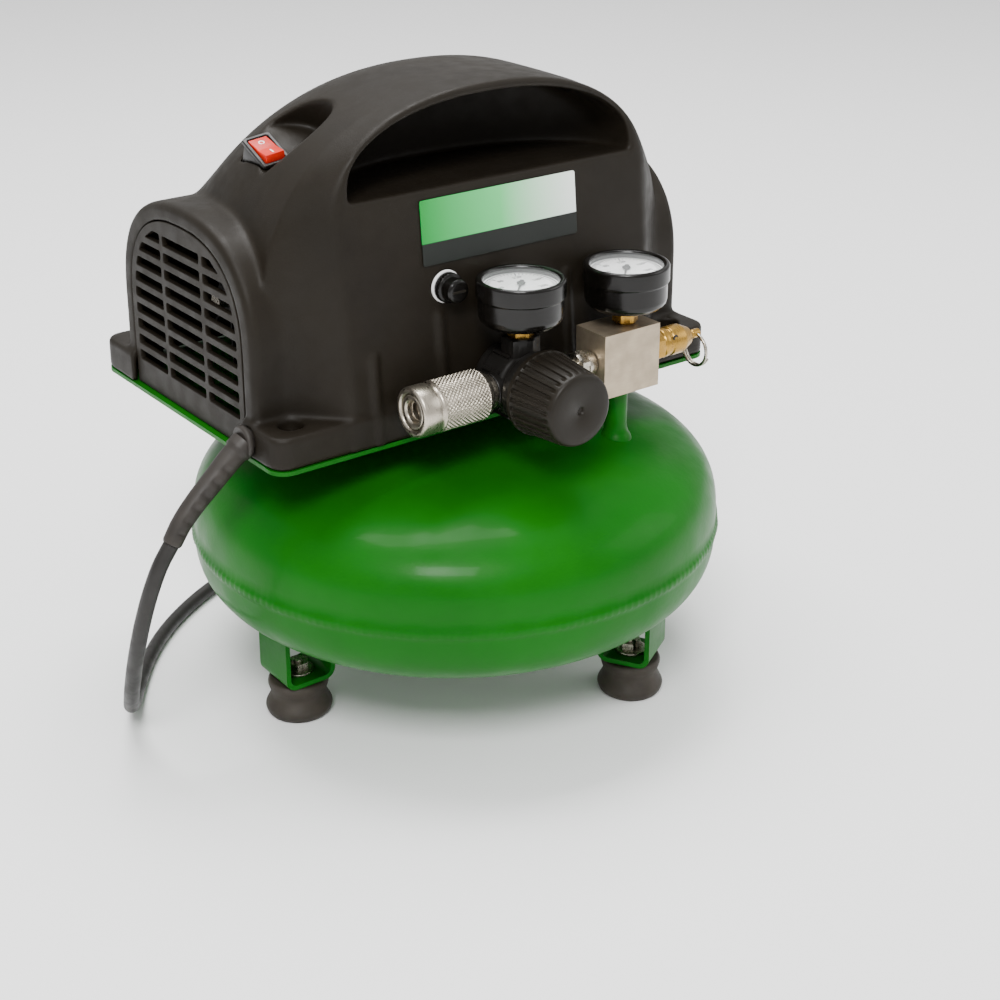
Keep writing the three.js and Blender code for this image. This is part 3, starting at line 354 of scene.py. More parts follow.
def merged(parts):
    """Joins (points, faces) pairs into one."""
    points, faces = [], []
    for part_points, part_faces in parts:
        start = len(points)
        points += [tuple(p) for p in part_points]
        faces += [tuple(i + start for i in face) for face in part_faces]
    return points, faces


def moved(part, matrix):
    points, faces = part
    return [tuple(matrix @ Vector(p)) for p in points], faces


def shifted(part, at):
    return moved(part, Matrix.Translation(at))


def rotated(part, angle, axis):
    return moved(part, Matrix.Rotation(angle, 4, axis))


def piece(name, part, material, stands_for=(), sharp=35, body="chassis"):
    """Makes an object from (points, faces) in millimetres, riding on a body."""
    points, faces = part
    mesh = bpy.data.meshes.new(name)
    mesh.from_pydata([(x * MM, y * MM, z * MM) for x, y, z in points], [], faces)
    return finished(name, mesh, material, stands_for, sharp, body)


def finished(name, mesh, material, stands_for, sharp, body="chassis"):
    mesh.validate()
    mesh.materials.clear()
    mesh.materials.append(material)
    mesh.polygons.foreach_set("use_smooth", [True] * len(mesh.polygons))
    mesh.set_sharp_from_angle(angle=math.radians(sharp))
    result = linked(name, mesh)
    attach(result, body)
    if stands_for:
        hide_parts(*([stands_for] if isinstance(stands_for, str) else stands_for))
    return result


def eased(profile, radius, steps=3):
    """A profile with each inner corner rounded off by up to `radius`."""
    result = [profile[0]]
    places = [Vector(p) for p in profile]
    for before, corner, after in zip(places, places[1:], places[2:]):
        back, ahead = before - corner, after - corner
        reach = min(radius, back.length * 0.45, ahead.length * 0.45)
        start, end = corner + back.normalized() * reach, corner + ahead.normalized() * reach
        for i in range(steps + 1):
            t = i / steps
            result.append(tuple((1 - t) ** 2 * start + 2 * t * (1 - t) * corner + t * t * end))
    return result + [profile[-1]]


def lathe(profile, segments=72, shape=None):
    """Turns [radius, height] pairs about Z. shape(angle, radius, height) may change a radius."""
    points, faces, rows = [], [], []
    for r, h in profile:
        if r < 1e-6:
            rows.append([len(points)])
            points.append((0, 0, h))
            continue
        row = []
        for i in range(segments):
            angle = TURN * i / segments
            radius = shape(angle, r, h) if shape else r
            row.append(len(points))
            points.append((radius * math.cos(angle), radius * math.sin(angle), h))
        rows.append(row)
    for lower, upper in zip(rows, rows[1:]):
        for i in range(segments):
            j = (i + 1) % segments
            if len(lower) == 1 and len(upper) == 1:
                break
            if len(lower) == 1:
                faces.append((lower[0], upper[j], upper[i]))
            elif len(upper) == 1:
                faces.append((lower[i], lower[j], upper[0]))
            else:
                faces.append((lower[i], lower[j], upper[j], upper[i]))
    return points, faces


def turned(profile, axis, at, segments=72, shape=None, ease=0.0):
    outline = eased(profile, ease) if ease else profile
    return moved(lathe(outline, segments, shape), placed(axis, at))


def washer(inner, outer, length, ease=0.3):
    """A closed profile of a plain ring."""
    seam = (inner, length / 2)
    return eased([seam, (inner, 0), (outer, 0), (outer, length), (inner, length), seam], ease)


def rod(radius, length):
    """The profile of a plain round bar, to be eased by turned()."""
    return [(0, 0), (radius, 0), (radius, length), (0, length)]


def hexagon(across_flats):
    """A shape for lathe() that makes rows near this size six-sided."""
    apothem = across_flats / 2

    def shape(angle, radius, _):
        turn = (angle + math.pi / 6) % (math.pi / 3) - math.pi / 6
        return min(radius, apothem / math.cos(turn))

    return shape


def hex_nut(across_flats, length, axis, at):
    """A hexagon prism with its corners chamfered as on a turned nut."""
    corner = across_flats / math.sqrt(3)
    rise = (corner - across_flats / 2) * 0.5
    profile = [(0, 0), (across_flats / 2 * 0.97, 0), (corner, rise), (corner, length - rise),
               (across_flats / 2 * 0.97, length), (0, length)]
    return turned(profile, axis, at, 96, hexagon(across_flats))


def curve_part(curve, at):
    """The points and faces of a curve's surface, moved to `at`. The curve is removed."""
    holder = bpy.data.objects.new(curve.name, curve)
    mesh = bpy.data.meshes.new_from_object(holder)
    points = [tuple(a + b for a, b in zip(v.co, at)) for v in mesh.vertices]
    faces = [tuple(p.vertices) for p in mesh.polygons]
    bpy.data.objects.remove(holder)
    bpy.data.curves.remove(curve)
    bpy.data.meshes.remove(mesh)
    return points, faces


def flat_plate(outline, holes, depth, bevel):
    """A plate of a 2-D outline with holes, its faces at Z 0 and depth, its edges rounded."""
    curve = bpy.data.curves.new("outline", "CURVE")
    curve.dimensions = "2D"
    curve.fill_mode = "BOTH"
    for points in [outline, *holes]:
        spline = curve.splines.new("POLY")
        spline.points.add(len(points) - 1)
        for target, (x, y) in zip(spline.points, points):
            target.co = (x, y, 0, 1)
        spline.use_cyclic_u = True
    curve.extrude = depth / 2 - bevel
    curve.bevel_depth = bevel
    curve.bevel_resolution = 2
    curve.offset = -bevel
    return curve_part(curve, (0, 0, depth / 2))


def arch(half, foot_z, base_z, rise, power=2.2, steps=64):
    points = [(-half, foot_z), (half, foot_z)]
    for i in range(steps + 1):
        angle = math.pi * i / steps
        c, s = math.cos(angle), math.sin(angle)
        across = half * math.copysign(abs(c) ** (2 / power), c)
        points.append((across, base_z + rise * max(s, 0) ** (2 / power)))
    return points


def rounded_rectangle(half_x, half_y, corner, steps=8, centre=(0, 0)):
    points = []
    for cx, cy, start in ((1, -1, -90), (1, 1, 0), (-1, 1, 90), (-1, -1, 180)):
        for i in range(steps + 1):
            angle = math.radians(start + 90 * i / steps)
            x = cx * (half_x - corner) + corner * math.cos(angle)
            y = cy * (half_y - corner) + corner * math.sin(angle)
            points.append((centre[0] + x, centre[1] + y))
    return points


def smooth_path(points, spacing):
    """A Catmull-Rom curve through the points, with a point every `spacing`."""
    anchors = [Vector(p) for p in points]
    ends = [2 * anchors[0] - anchors[1], *anchors, 2 * anchors[-1] - anchors[-2]]
    result = []
    for a, b, c, d in zip(ends, ends[1:], ends[2:], ends[3:]):
        count = max(2, round((c - b).length / spacing))
        for i in range(count):
            t = i / count
            result.append(0.5 * (2 * b + (c - a) * t + (2 * a - 5 * b + 4 * c - d) * t ** 2
                                 + (3 * b - a - 3 * c + d) * t ** 3))
    return result + [anchors[-1]]


def sweep(path, radii, segments=32, shape=None):
    """A closed tube along a path. shape(angle, index, radius) may change a radius."""
    points, faces = [], []
    side = Vector((0, 1, 0))
    for i, centre in enumerate(path):
        ahead = (path[min(i + 1, len(path) - 1)] - path[max(i - 1, 0)]).normalized()
        side = (side - ahead * side.dot(ahead)).normalized()
        up = ahead.cross(side)
        for k in range(segments):
            angle = TURN * k / segments
            r = shape(angle, i, radii[i]) if shape else radii[i]
            points.append(tuple(centre + side * (r * math.cos(angle)) + up * (r * math.sin(angle))))
    for i in range(len(path) - 1):
        for k in range(segments):
            a, b = i * segments + k, i * segments + (k + 1) % segments
            faces.append((a, b, b + segments, a + segments))
    faces.append(tuple(reversed(range(segments))))
    last = (len(path) - 1) * segments
    faces.append(tuple(last + k for k in range(segments)))
    return points, faces


def block(size, centre):
    sx, sy, sz = (s / 2 for s in size)
    corners = [(x, y, z) for x in (-sx, sx) for y in (-sy, sy) for z in (-sz, sz)]
    faces = [(0, 1, 3, 2), (4, 6, 7, 5), (0, 4, 5, 1), (2, 3, 7, 6), (0, 2, 6, 4), (1, 5, 7, 3)]
    return [(x + centre[0], y + centre[1], z + centre[2]) for x, y, z in corners], faces


def soften(target, width, segments=2):
    bevel = target.modifiers.new("edges", "BEVEL")
    bevel.width = width * MM
    bevel.segments = segments
    bevel.limit_method = "ANGLE"
    bevel.angle_limit = math.radians(30)
    bevel.harden_normals = True


# ---- Hood: one moulding from a distance field, meshed at its zero level ----


def outline_distance(points, px, py):
    """Distance from each point of a grid to a closed outline, negative inside it."""
    best = np.full(np.broadcast(px, py).shape, 1e9)
    inside = np.zeros(best.shape, bool)
    for (x0, y0), (x1, y1) in zip(points, points[1:] + points[:1]):
        ex, ey = x1 - x0, y1 - y0
        if abs(ex) + abs(ey) < 1e-9:
            continue
        t = np.clip(((px - x0) * ex + (py - y0) * ey) / (ex * ex + ey * ey), 0, 1)
        best = np.minimum(best, np.hypot(px - x0 - t * ex, py - y0 - t * ey))
        if abs(ey) > 1e-9:
            inside ^= ((y0 > py) != (y1 > py)) & (px < ex * (py - y0) / ey + x0)
    return np.where(inside, -best, best).astype(np.float32)


def overlap_of(a, b, blend=0.0):
    """Intersection of two fields with their common edge rounded."""
    sharp = np.maximum(a, b)
    return sharp + np.maximum(blend - np.abs(a - b), 0) ** 2 / (4 * blend) if blend else sharp


def union_of(a, b, blend=0.0):
    return -overlap_of(-a, -b, blend)


def cut_from(a, b, blend=0.0):
    return overlap_of(a, -b, blend)


def front_y(z):
    return FRONT_FOOT_Y + (z - SKIRT_TOP_Z) * FRONT_LEAN


def roof_height(y):
    """Height of the roof's middle line: nearly level in front, then round and down in a straight slope."""
    to_front = np.clip((ROOF_Y - y) / (ROOF_Y - FRONT_FOOT_Y + 4), 0, 1)
    level = ROOF_TOP_Z - (ROOF_TOP_Z - FACE_TOP_Z) * to_front ** 2
    turn = ROOF_TURN_Y - ROOF_Y
    on_arc = np.clip(y - ROOF_Y, 0, turn)
    slope = turn / math.sqrt(ROOF_R ** 2 - turn ** 2)
    past_arc = np.maximum(y - ROOF_Y, 0) - on_arc
    fall = ROOF_TOP_Z - ROOF_R + np.sqrt(ROOF_R ** 2 - on_arc ** 2) - slope * past_arc
    return np.where(y < ROOF_Y, level, fall)


def body_distance(x, y, z, step):
    """Distance to the body's loft: a wide low arch behind, a narrower square-shouldered one in front."""
    span = SIDE_Y - FRONT_FOOT_Y
    y = np.where(y < SIDE_Y, SIDE_Y - (SIDE_Y - y) / (1 - (front_y(z) - FRONT_FOOT_Y) / span), y)
    half = np.interp(y, [FRONT_FOOT_Y, SIDE_Y, 93, BODY_BACK_Y], [FACE_X, BODY_X, BODY_X, BODY_X - 22])
    half = half - BODY_TAPER * np.clip(y / 110, 0, 1)
    share = np.clip((y - FRONT_FOOT_Y) / span, 0, 1)
    base = FACE_BASE_Z + (BODY_BASE_Z - FACE_BASE_Z) * share
    power = FACE_POWER + (BODY_POWER - FACE_POWER) * share
    rise = np.maximum(roof_height(y) - base, 6)
    up = np.maximum(z - base, 0) / rise
    level = ((np.abs(x) / half) ** power + up ** power) ** (1 / power) - 1
    slopes = np.gradient(level.astype(np.float32), step)
    return level / np.maximum(np.sqrt(sum(slope ** 2 for slope in slopes)), 0.004)


def switch_frame():
    forward = Matrix.Rotation(math.radians(SWITCH_FORWARD_TILT), 4, "X")
    sideways = Matrix.Rotation(math.radians(SWITCH_SIDE_TILT), 4, "Y")
    return Matrix.Translation(Vector(SWITCH_AT)) @ sideways @ forward


def hood_field(x, y, z, step):
    """Distance to the hood's plastic at each grid point, in millimetres, negative inside it."""
    body = overlap_of(body_distance(x, y, z, step), front_y(z) - y, 2.5)
    body = overlap_of(body, y - BODY_BACK_Y, 10)
    across, outward = y - HOOD_CENTRE_Y, np.abs(x)

    def end_arch(half, rise):
        return outline_distance(arch(half, 100, POD_BASE_Z, rise, POD_POWER), across, z)

    pod = overlap_of(end_arch(POD_HALF, POD_RISE), outward - POD_X, 5)
    skirt_outline = rounded_rectangle(HOOD_X, HOOD_Y, 9, centre=(0, HOOD_CENTRE_Y))
    skirt = overlap_of(outline_distance(skirt_outline, x, y), z - SKIRT_TOP_Z, 2.5)
    outer = union_of(union_of(body, pod, 3), skirt, 3)
    for rib_x, top in ((-76, 198), (-38, 210), (0, 224), (38, 216), (76, 198)):
        rise = np.maximum(z - top, 0)
        rib = np.sqrt((x - rib_x) ** 2 + rise ** 2 + (y - front_y(z) - 1.6) ** 2) - 3.2
        outer = union_of(outer, rib, 1.5)

    opening = outline_distance(arch(GRIP_HALF, 200, GRIP_Z, GRIP_RISE), x, z)
    depth = outline_distance(arch(GRIP_HALF, -90, -38, GRIP_DEPTH_Y + 38), x, y)
    grip_floor = GRIP_Z - 0.8 - 0.06 * (y + 38) - z
    grip = overlap_of(overlap_of(opening, depth, 5), grip_floor, 3)
    local = np.array(switch_frame().inverted())
    u, v, w = (local[i, 0] * x + local[i, 1] * y + local[i, 2] * z + local[i, 3] for i in range(3))
    almond = (np.sqrt(((u - 6) / 25.5) ** 2 + (v / 16) ** 2) - 1) * 17
    recess = overlap_of(almond, -w, 2)
    outer = cut_from(cut_from(outer, grip, 2), recess, 1.5)

    floor = SKIRT_Z - z
    shell = cut_from(overlap_of(outer, floor), outer + HOOD_WALL)
    for sx, sy in ((-1, -1), (-1, 1), (1, -1), (1, 1)):
        from_hole = np.hypot(x - sx * EAR_X, y - HOOD_CENTRE_Y - sy * EAR_Y)
        post = overlap_of(overlap_of(from_hole - 9, outer), floor)
        shell = union_of(shell, post)
        shell = cut_from(shell, overlap_of(from_hole - EAR_HOLE_R, SKIRT_TOP_Z - 9 - z), 0.8)
        shell = cut_from(shell, from_hole - 2.6)
    window = end_arch(GRILLE_HALF + 0.4, GRILLE_RISE + 0.4)
    inner = end_arch(GRILLE_HALF - 4, GRILLE_RISE - 4)
    shell = cut_from(shell, overlap_of(window, POD_X - GRILLE_SHEET - 0.4 - outward), 0.8)
    shell = cut_from(shell, overlap_of(inner, BODY_X - outward))
    switch_hole = overlap_of(overlap_of(np.abs(u) - 6.9, np.abs(v) - 9.9), np.abs(w) - 12)
    fuse = middle("fuse_cap")
    fuse_hole = overlap_of(np.hypot(x - fuse.x, z - fuse.z) - 6.2, y + 20)
    cord_hole = overlap_of(np.hypot(y - RELIEF_POINTS[0][1], z - RELIEF_Z) - 6.4, x + 120)
    for hole in (switch_hole, fuse_hole, cord_hole):
        shell = cut_from(shell, hole, 0.6)
    return shell


def make_hood():
    step = 1.0
    low, high = lowest("hood_shell") - Vector((3, 6, 3)), highest("hood_shell") + Vector((3, 3, 3))
    x, y, z = (np.arange(a, b, step, dtype=np.float32) for a, b in zip(low, high))
    field = hood_field(x[:, None, None], y[None, :, None], z[None, None, :], step)
    grid = openvdb.FloatGrid()
    grid.copyFromArray(np.ascontiguousarray(np.clip(field, -6, 6), dtype=np.float32))
    points, quads = grid.convertToQuads(0.0)
    mesh = bpy.data.meshes.new("hood_moulding")
    mesh.from_pydata(((points * step + np.array(low)) * MM).tolist(), [], quads[:, ::-1].tolist())
    hood = finished("hood_moulding", mesh, HOOD, "hood_shell", 60)
    smooth = hood.modifiers.new("soften", "SMOOTH")
    smooth.factor, smooth.iterations = 0.5, 5


# ---- Louvred end grilles ----


def louvre_slots():
    """The slots' outlines in the grille's plane; the outer ones end along the arch's border."""
    half, rise = GRILLE_HALF - 4.2, GRILLE_RISE - 3.5

    def reach(z):
        return half * (1 - min(1, max(0, z - POD_BASE_Z) / rise) ** POD_POWER) ** (1 / POD_POWER)

    slots = []
    for row in range(LOUVRE_ROWS):
        low = LOUVRE_LOW_Z + row * LOUVRE_PITCH
        high = low + LOUVRE_SLOT
        for column in (-1, 0, 1):
            left = column * LOUVRE_COLUMN - (LOUVRE_COLUMN - LOUVRE_BAR) / 2
            right = left + LOUVRE_COLUMN - LOUVRE_BAR
            low_left, high_left = (max(left, -reach(z)) for z in (low, high))
            low_right, high_right = (min(right, reach(z)) for z in (low, high))
            if min(low_right - low_left, high_right - high_left) < 4:
                continue
            corners = [(low_left, low), (low_right, low), (high_right, high), (high_left, high)]
            middle_low = ((low_left + low_right) / 2, low)
            slots.append(eased([middle_low, *corners[1:], corners[0], middle_low], 1.2)[:-1])
    return slots


def make_grille(side):
    end = "left" if side < 0 else "right"
    outline = arch(GRILLE_HALF, SKIRT_Z + 0.3, POD_BASE_Z, GRILLE_RISE, POD_POWER, 48)
    panel = flat_plate(outline, louvre_slots(), GRILLE_SHEET, 0.3)
    start = -POD_X if side < 0 else POD_X - GRILLE_SHEET
    panel = moved(panel, placed("x", (start, HOOD_CENTRE_Y, 0)))
    piece(f"grille_{end}", panel, HOOD, f"end_grille_{end}")


# ---- Tank, legs and feet ----


def head_curve(rise, steps=40):
    points = []
    for i in range(steps + 1):
        angle = math.pi / 2 * i / steps
        c, s = max(math.cos(angle), 0), math.sin(angle)
        points.append((TANK_R * c ** (2 / TANK_SHAPE), rise * s ** (2 / TANK_SHAPE)))
    points[-1] = (0, rise)
    return points


def tank_top_z(radius):
    return TANK_SEAM_Z + TANK_UP * (1 - (radius / TANK_R) ** TANK_SHAPE) ** (1 / TANK_SHAPE)


def make_tank():
    up = [(r, TANK_SEAM_Z + h) for r, h in head_curve(TANK_UP)]
    down = [(r, TANK_SEAM_Z - h) for r, h in head_curve(TANK_DOWN)]
    weld = [(0, -4.4), (0.9, -3.2), (1.1, -1.4), (0.8, 0.4), (0, 1.4)]
    lap = [(TANK_R + out, TANK_SEAM_Z + rise) for out, rise in weld]
    low = [p for p in reversed(down) if p[1] < TANK_SEAM_Z - 5]
    high = [p for p in up if p[1] > TANK_SEAM_Z + 2]

    def weld_ripple(angle, radius, height):
        if abs(height - TANK_SEAM_Z + 1.4) > 2.2:
            return radius
        return radius + 0.22 * math.sin(angle * 210) + 0.15 * math.sin(angle * 37)

    heads = turned(low + lap + high, "z", (0, 0, 0), 640, weld_ripple)
    piece("tank_heads", heads, GREEN, ("tank_upper_shell", "tank_lower_shell"), 60)

    pipe = middle("tank_outlet_pipe")
    foot, top = tank_top_z(math.hypot(pipe.x, pipe.y)), highest("tank_outlet_pipe").z
    riser = [(0, foot - 6), (8.6, foot - 6), (8.4, foot - 1.6), (7.4, foot + 0.8), (6.3, foot + 2.6),
             (5.7, foot + 4.6), (5.5, foot + 7), (5.5, top - 1), (4.9, top), (0, top)]
    riser = turned(riser, "z", (pipe.x, pipe.y, 0), 48, ease=1.2)
    piece("outlet_riser", riser, GREEN, "tank_outlet_pipe", 60)


def make_feet():
    profile = [(0, 0.6), (8.4, 0.6), (8.8, 0), (14.2, 0), (15.6, 1.0), (16.6, 3.2), (16.8, 4.8), (16.1, 6.4),
               (15.0, 8.4), (14.1, 10.4), (13.9, 11.6), (14.2, 13.4), (14.9, 15.4), (15.3, 17.2),
               (15.0, 18.7), (14.2, 19.4), (0, 19.4)]
    for name, angle in LEG_ANGLES.items():
        turn = math.radians(angle)
        at = (LEG_R * math.cos(turn), LEG_R * math.sin(turn), 0)
        foot = turned(profile, "z", at, 64, ease=0.8)
        piece(f"bobbin_{name}", foot, RUBBER, f"rubber_foot_{name}", 60)
        washer_part = turned(washer(3.2, 8, 1.2), "z", (at[0], at[1], 22.4), 40)
        piece(f"foot_washer_{name}", washer_part, ZINC)
        soften(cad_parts[f"leg_strap_{name}"], 0.5)
        soften(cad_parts[f"foot_bolt_{name}"], 0.4)


# ---- Outlet line ----


def make_manifold():
    soften(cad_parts["manifold_block"], 0.7, 3)
    nipple_left, nipple_right = lowest("hex_nipple").x, highest("hex_nipple").x
    parts = [turned(rod(4.3, nipple_right - nipple_left), "x", on_line(nipple_left), 40)]
    hex_at = lowest("manifold_block").x - 10.6
    parts.append(hex_nut(14, 5.4, "x", on_line(hex_at)))
    collar = [(0, 0), (6.3, 0), (6.3, 9.5), (5.2, 10.3), (0, 10.3)]
    parts.append(turned(collar, "x", on_line(highest("regulator_body").x), 48, ease=0.5))
    parts.append(turned(rod(6.6, 5), "x", on_line(hex_at + 5.2), 48, ease=0.6))
    piece("nipple", merged(parts), ZINC, "hex_nipple")

    start = highest("manifold_block").x + 0.2
    barrel = [(0, 0), (6.4, 0), (7.5, 1.4), (7.5, 4), (6.9, 4.6), (6.9, 6), (7.5, 6.6), (7.5, 14), (5.2, 19),
              (4.6, 20.4), (2.6, 20.4), (2.6, 18), (0, 18)]
    parts = [hex_nut(15, 8, "x", on_line(start)), turned(barrel, "x", on_line(start + 8), 56, ease=0.6)]
    piece("relief_valve", merged(parts), BRASS, "safety_valve_body")
    # Painted shade: a thin dark ring in ink colour stands for the shaded opening of the vent hole in the
    # brass barrel.
    rim = [(0, 0), (1.6, 0), (1.5, 0.4), (1.1, 0.5), (0.9, 0.2), (0, 0.2)]
    port = turned(rim, "y", (start + 15, LINE.y - 6.2, LINE.z + 3.6), 24)
    piece("relief_port_painted_shade", port, INK_AND_PORT_SHADE)

    eye = Vector(on_line(middle("safety_valve_ring").x))
    stem = [(0, start + 20), (1.9, start + 20), (1.9, eye.x - 3), (2.3, eye.x - 2.4), (2.3, eye.x + 1.8),
            (1.5, eye.x + 2.5), (0, eye.x + 2.5)]
    stem = turned(stem, "x", on_line(0), 32, ease=0.3)
    piece("relief_stem", stem, BRASS, "safety_valve_pin", body="relief_pin")
    radius, ring_steps = 8.6, 72
    angles = [TURN * i / ring_steps for i in range(ring_steps - 2)]
    loop = [eye + Vector((0, radius * math.sin(a), radius * math.cos(a) - radius)) for a in angles]
    wire = sweep(loop, [0.85] * len(loop), 14)
    overlap = [Vector((eye.x + 1.7, p.y, p.z)) for p in loop[22:50]]
    second = sweep(overlap, [0.75] * len(overlap), 14)
    ring = merged([wire, second])
    piece("relief_pull_ring", ring, ZINC, "safety_valve_ring", 60, body="relief_ring")


def make_regulator():
    body_front = lowest("regulator_body").y
    barrel = [(0, 0), (15.5, 0), (16.4, 1.2), (16.4, 5), (17, 6), (17, 20), (16.2, 21.4), (16.2, 24),
              (18.4, 25.2), (18.4, -body_front - 47.2), (0, -body_front - 47.2)]
    parts = [turned(barrel, "y", on_line(KNOB_X, -47.2), 72, ease=0.7)]
    left, right = lowest("regulator_body").x, highest("regulator_body").x
    for x, radius, length in ((left, 8.6, 9), (right - 8, 8.2, 8)):
        parts.append(turned(rod(radius, length), "x", on_line(x), 48, ease=0.8))
    parts.append(hex_nut(16, 14, "z", (KNOB_X, LINE.y, LINE.z + 10)))
    for i in range(12):
        fin = rotated(block((2.2, 12, 1.6), (17.2, 0, 0)), TURN * i / 12, "Y")
        parts.append(shifted(fin, on_line(KNOB_X, -60)))
    piece("regulator_housing", merged(parts), SATIN_BLACK, "regulator_body")

    length = KNOB_REAR_Y - lowest("regulator_knob").y

    def fluted(angle, radius, height):
        if radius < 14 or not 3.2 < height < length - 3.4:
            return radius
        wave = math.cos(angle * KNOB_RIBS)
        return radius - 0.85 * max(0.0, min(1.0, 0.5 - 1.3 * wave))

    grip = [(0, 3), (14, 3), (14, 0), (19.6, 0), (20.8, 1), (20.8, 3.1), (20.5, 3.3), (20.1, 5)]
    grip += [(20.1 - 1.9 * (h - 5) / (length - 9), h) for h in np.linspace(7, length - 4, 9)]
    end = [(17.9, 3.0), (17.5, 1.4), (16.9, 0.5), (16, 0.1), (13, 0), (2.4, 0), (2.0, 0.3), (1.5, 1.2),
           (0, 1.2)]
    grip += [(radius, length - back) for radius, back in end]
    grip = turned(grip, "y", on_line(KNOB_X, KNOB_REAR_Y), 480, fluted)
    piece("pressure_knob_grip", grip, KNOB, "regulator_knob", 50, body="pressure_knob")


def make_coupler():
    face = lowest("coupler_sleeve").x
    end = highest("coupler_body").x - face
    body = [(0, 20), (4.7, 20), (5.2, 18), (5.2, 1.6), (6.0, 0.7), (8.0, 0.7), (8.3, 1.2), (8.3, 44.4),
            (4.3, 44.4), (4.3, end), (0, end)]
    parts = [turned(body, "x", on_line(face), 72, ease=0.4)]
    for i in range(4):
        parts.append(turned(washer(4.6, 5.15, 0.6, 0.2), "x", on_line(face + 4 + i * 3), 48))
    piece("coupler_core", merged(parts), STEEL, "coupler_body")

    def knurled(angle, radius, height):
        if radius < 12 or not KNURL_START < height < KNURL_END:
            return radius
        first = math.sin(angle * 36 + height * 2.9)
        second = math.sin(angle * 36 - height * 2.9)
        return radius - 0.12 + 0.3 * max(-0.6, min(first, second) + 0.3)

    sleeve = [(8.8, 20), (8.8, 0.9), (9.4, 0.1), (10.8, 0), (11.7, 0.5), (12, 1.3), (12, 9), (11.8, 9.5),
              (11.2, 9.9), (11.1, 11.2), (11.6, 11.8), (12.1, 12.1)]
    sleeve += [(12.1, h) for h in np.linspace(KNURL_START - 0.1, KNURL_END + 0.1, 83)]
    sleeve += [(11.9, 37.6), (11.2, 39.0), (10.4, 40.3), (8.8, 40.4), (8.8, 20)]
    sleeve = turned(sleeve, "x", on_line(face), 432, knurled)
    piece("coupler_grip", sleeve, STEEL, "coupler_sleeve", 50, body="quick_sleeve")


# ---- Gauges ----


def digits(text, size, at):
    """Raised figures, level and facing up, centred on a point."""
    curve = bpy.data.curves.new("figures", "FONT")
    curve.body = text
    curve.size = size
    curve.align_x, curve.align_y = "CENTER", "CENTER"
    curve.extrude = 0.04
    return curve_part(curve, at)


def make_gauge(place):
    name = f"{place}_gauge"
    case, dial = f"{name}_case", f"{name}_dial"
    x, y = middle(case).x, middle(case).y
    top, foot = highest(case).z, highest(case).z - GAUGE_CUP
    profile = [(0, 0), (14.5, 0), (17.5, 0.9), (19.6, 3.0), (20.3, 5.2), (20.3, 13.4), (20.5, 13.9),
               (21.2, 14.2), (21.25, 15), (21.25, 21.8), (20.8, 22.7), (20.0, GAUGE_CUP), (18.7, 22.7),
               (18.0, 21.6), (17.8, 18), (0, 18)]
    cup = turned(profile, "z", (x, y, foot), 96, ease=0.5)
    piece(f"{name}_cup", cup, BLACK, case, 50)
    low = lowest(case).z
    stem = [(0, low), (4.3, low), (4.3, foot - 6), (5.4, foot - 5.4), (5.4, foot + 1), (0, foot + 1)]
    parts = [turned(stem, "z", (x, y, 0), 40), hex_nut(11, 7, "z", (x, y, foot - 7.6))]
    piece(f"{name}_stem", merged(parts), BRASS)

    face = highest(dial).z
    piece(f"{name}_face", turned(rod(18.9, 0.8), "z", (x, y, face - 0.8), 96), WHITE, dial)
    marks = []
    for i in range(41):
        angle = math.radians(225 - 270 * i / 40)
        long_mark = i % 8 == 0
        size = (3.4, 0.5, 0.1) if long_mark else (1.9, 0.26, 0.1)
        mark = block(size, (16.6 - size[0] / 2, 0, face + 0.05))
        marks.append(shifted(rotated(mark, angle, "Z"), (x, y, 0)))
        if long_mark:
            at = (x + 10.6 * math.cos(angle), y + 10.6 * math.sin(angle), face + 0.06)
            marks.append(digits(str(round(TOP_FIGURE * i / 40)), 3.3, at))
    ring = turned(washer(16.7, 17.0, 0.1, 0.02), "z", (x, y, face), 96)
    piece(f"{name}_marks", merged([*marks, ring]), INK_AND_PORT_SHADE)

    pivot_z = highest(f"{name}_pointer").z - 0.6
    edge = [(-4.2, 1.0), (-1.4, 0.9), (3, 0.62), (13.2, 0.12)]
    outline = [(px, -py) for px, py in edge] + edge[::-1]
    needle = rotated(flat_plate(outline, [], 0.5, 0.08), math.radians(225), "Z")
    hub = [(0, -1.6), (0.8, -1.6), (0.8, 0), (2.1, 0), (2.1, 0.7), (0, 1.0)]
    pointer = merged([needle, turned(hub, "z", (0, 0, 0), 32, ease=0.2)])
    pointer = shifted(pointer, (x, y, pivot_z))
    piece(f"{name}_needle", pointer, INK_AND_PORT_SHADE, f"{name}_pointer", body=f"{place}_pointer")
    glass = turned([(0, -2), (18.4, -2), (18.4, -1.2), (17.6, -0.9), (0, -0.6)], "z", (x, y, top), 96)
    piece(f"{name}_window", glass, LENS, f"{name}_lens", 60)


# ---- Switch, fuse, badge and screws ----


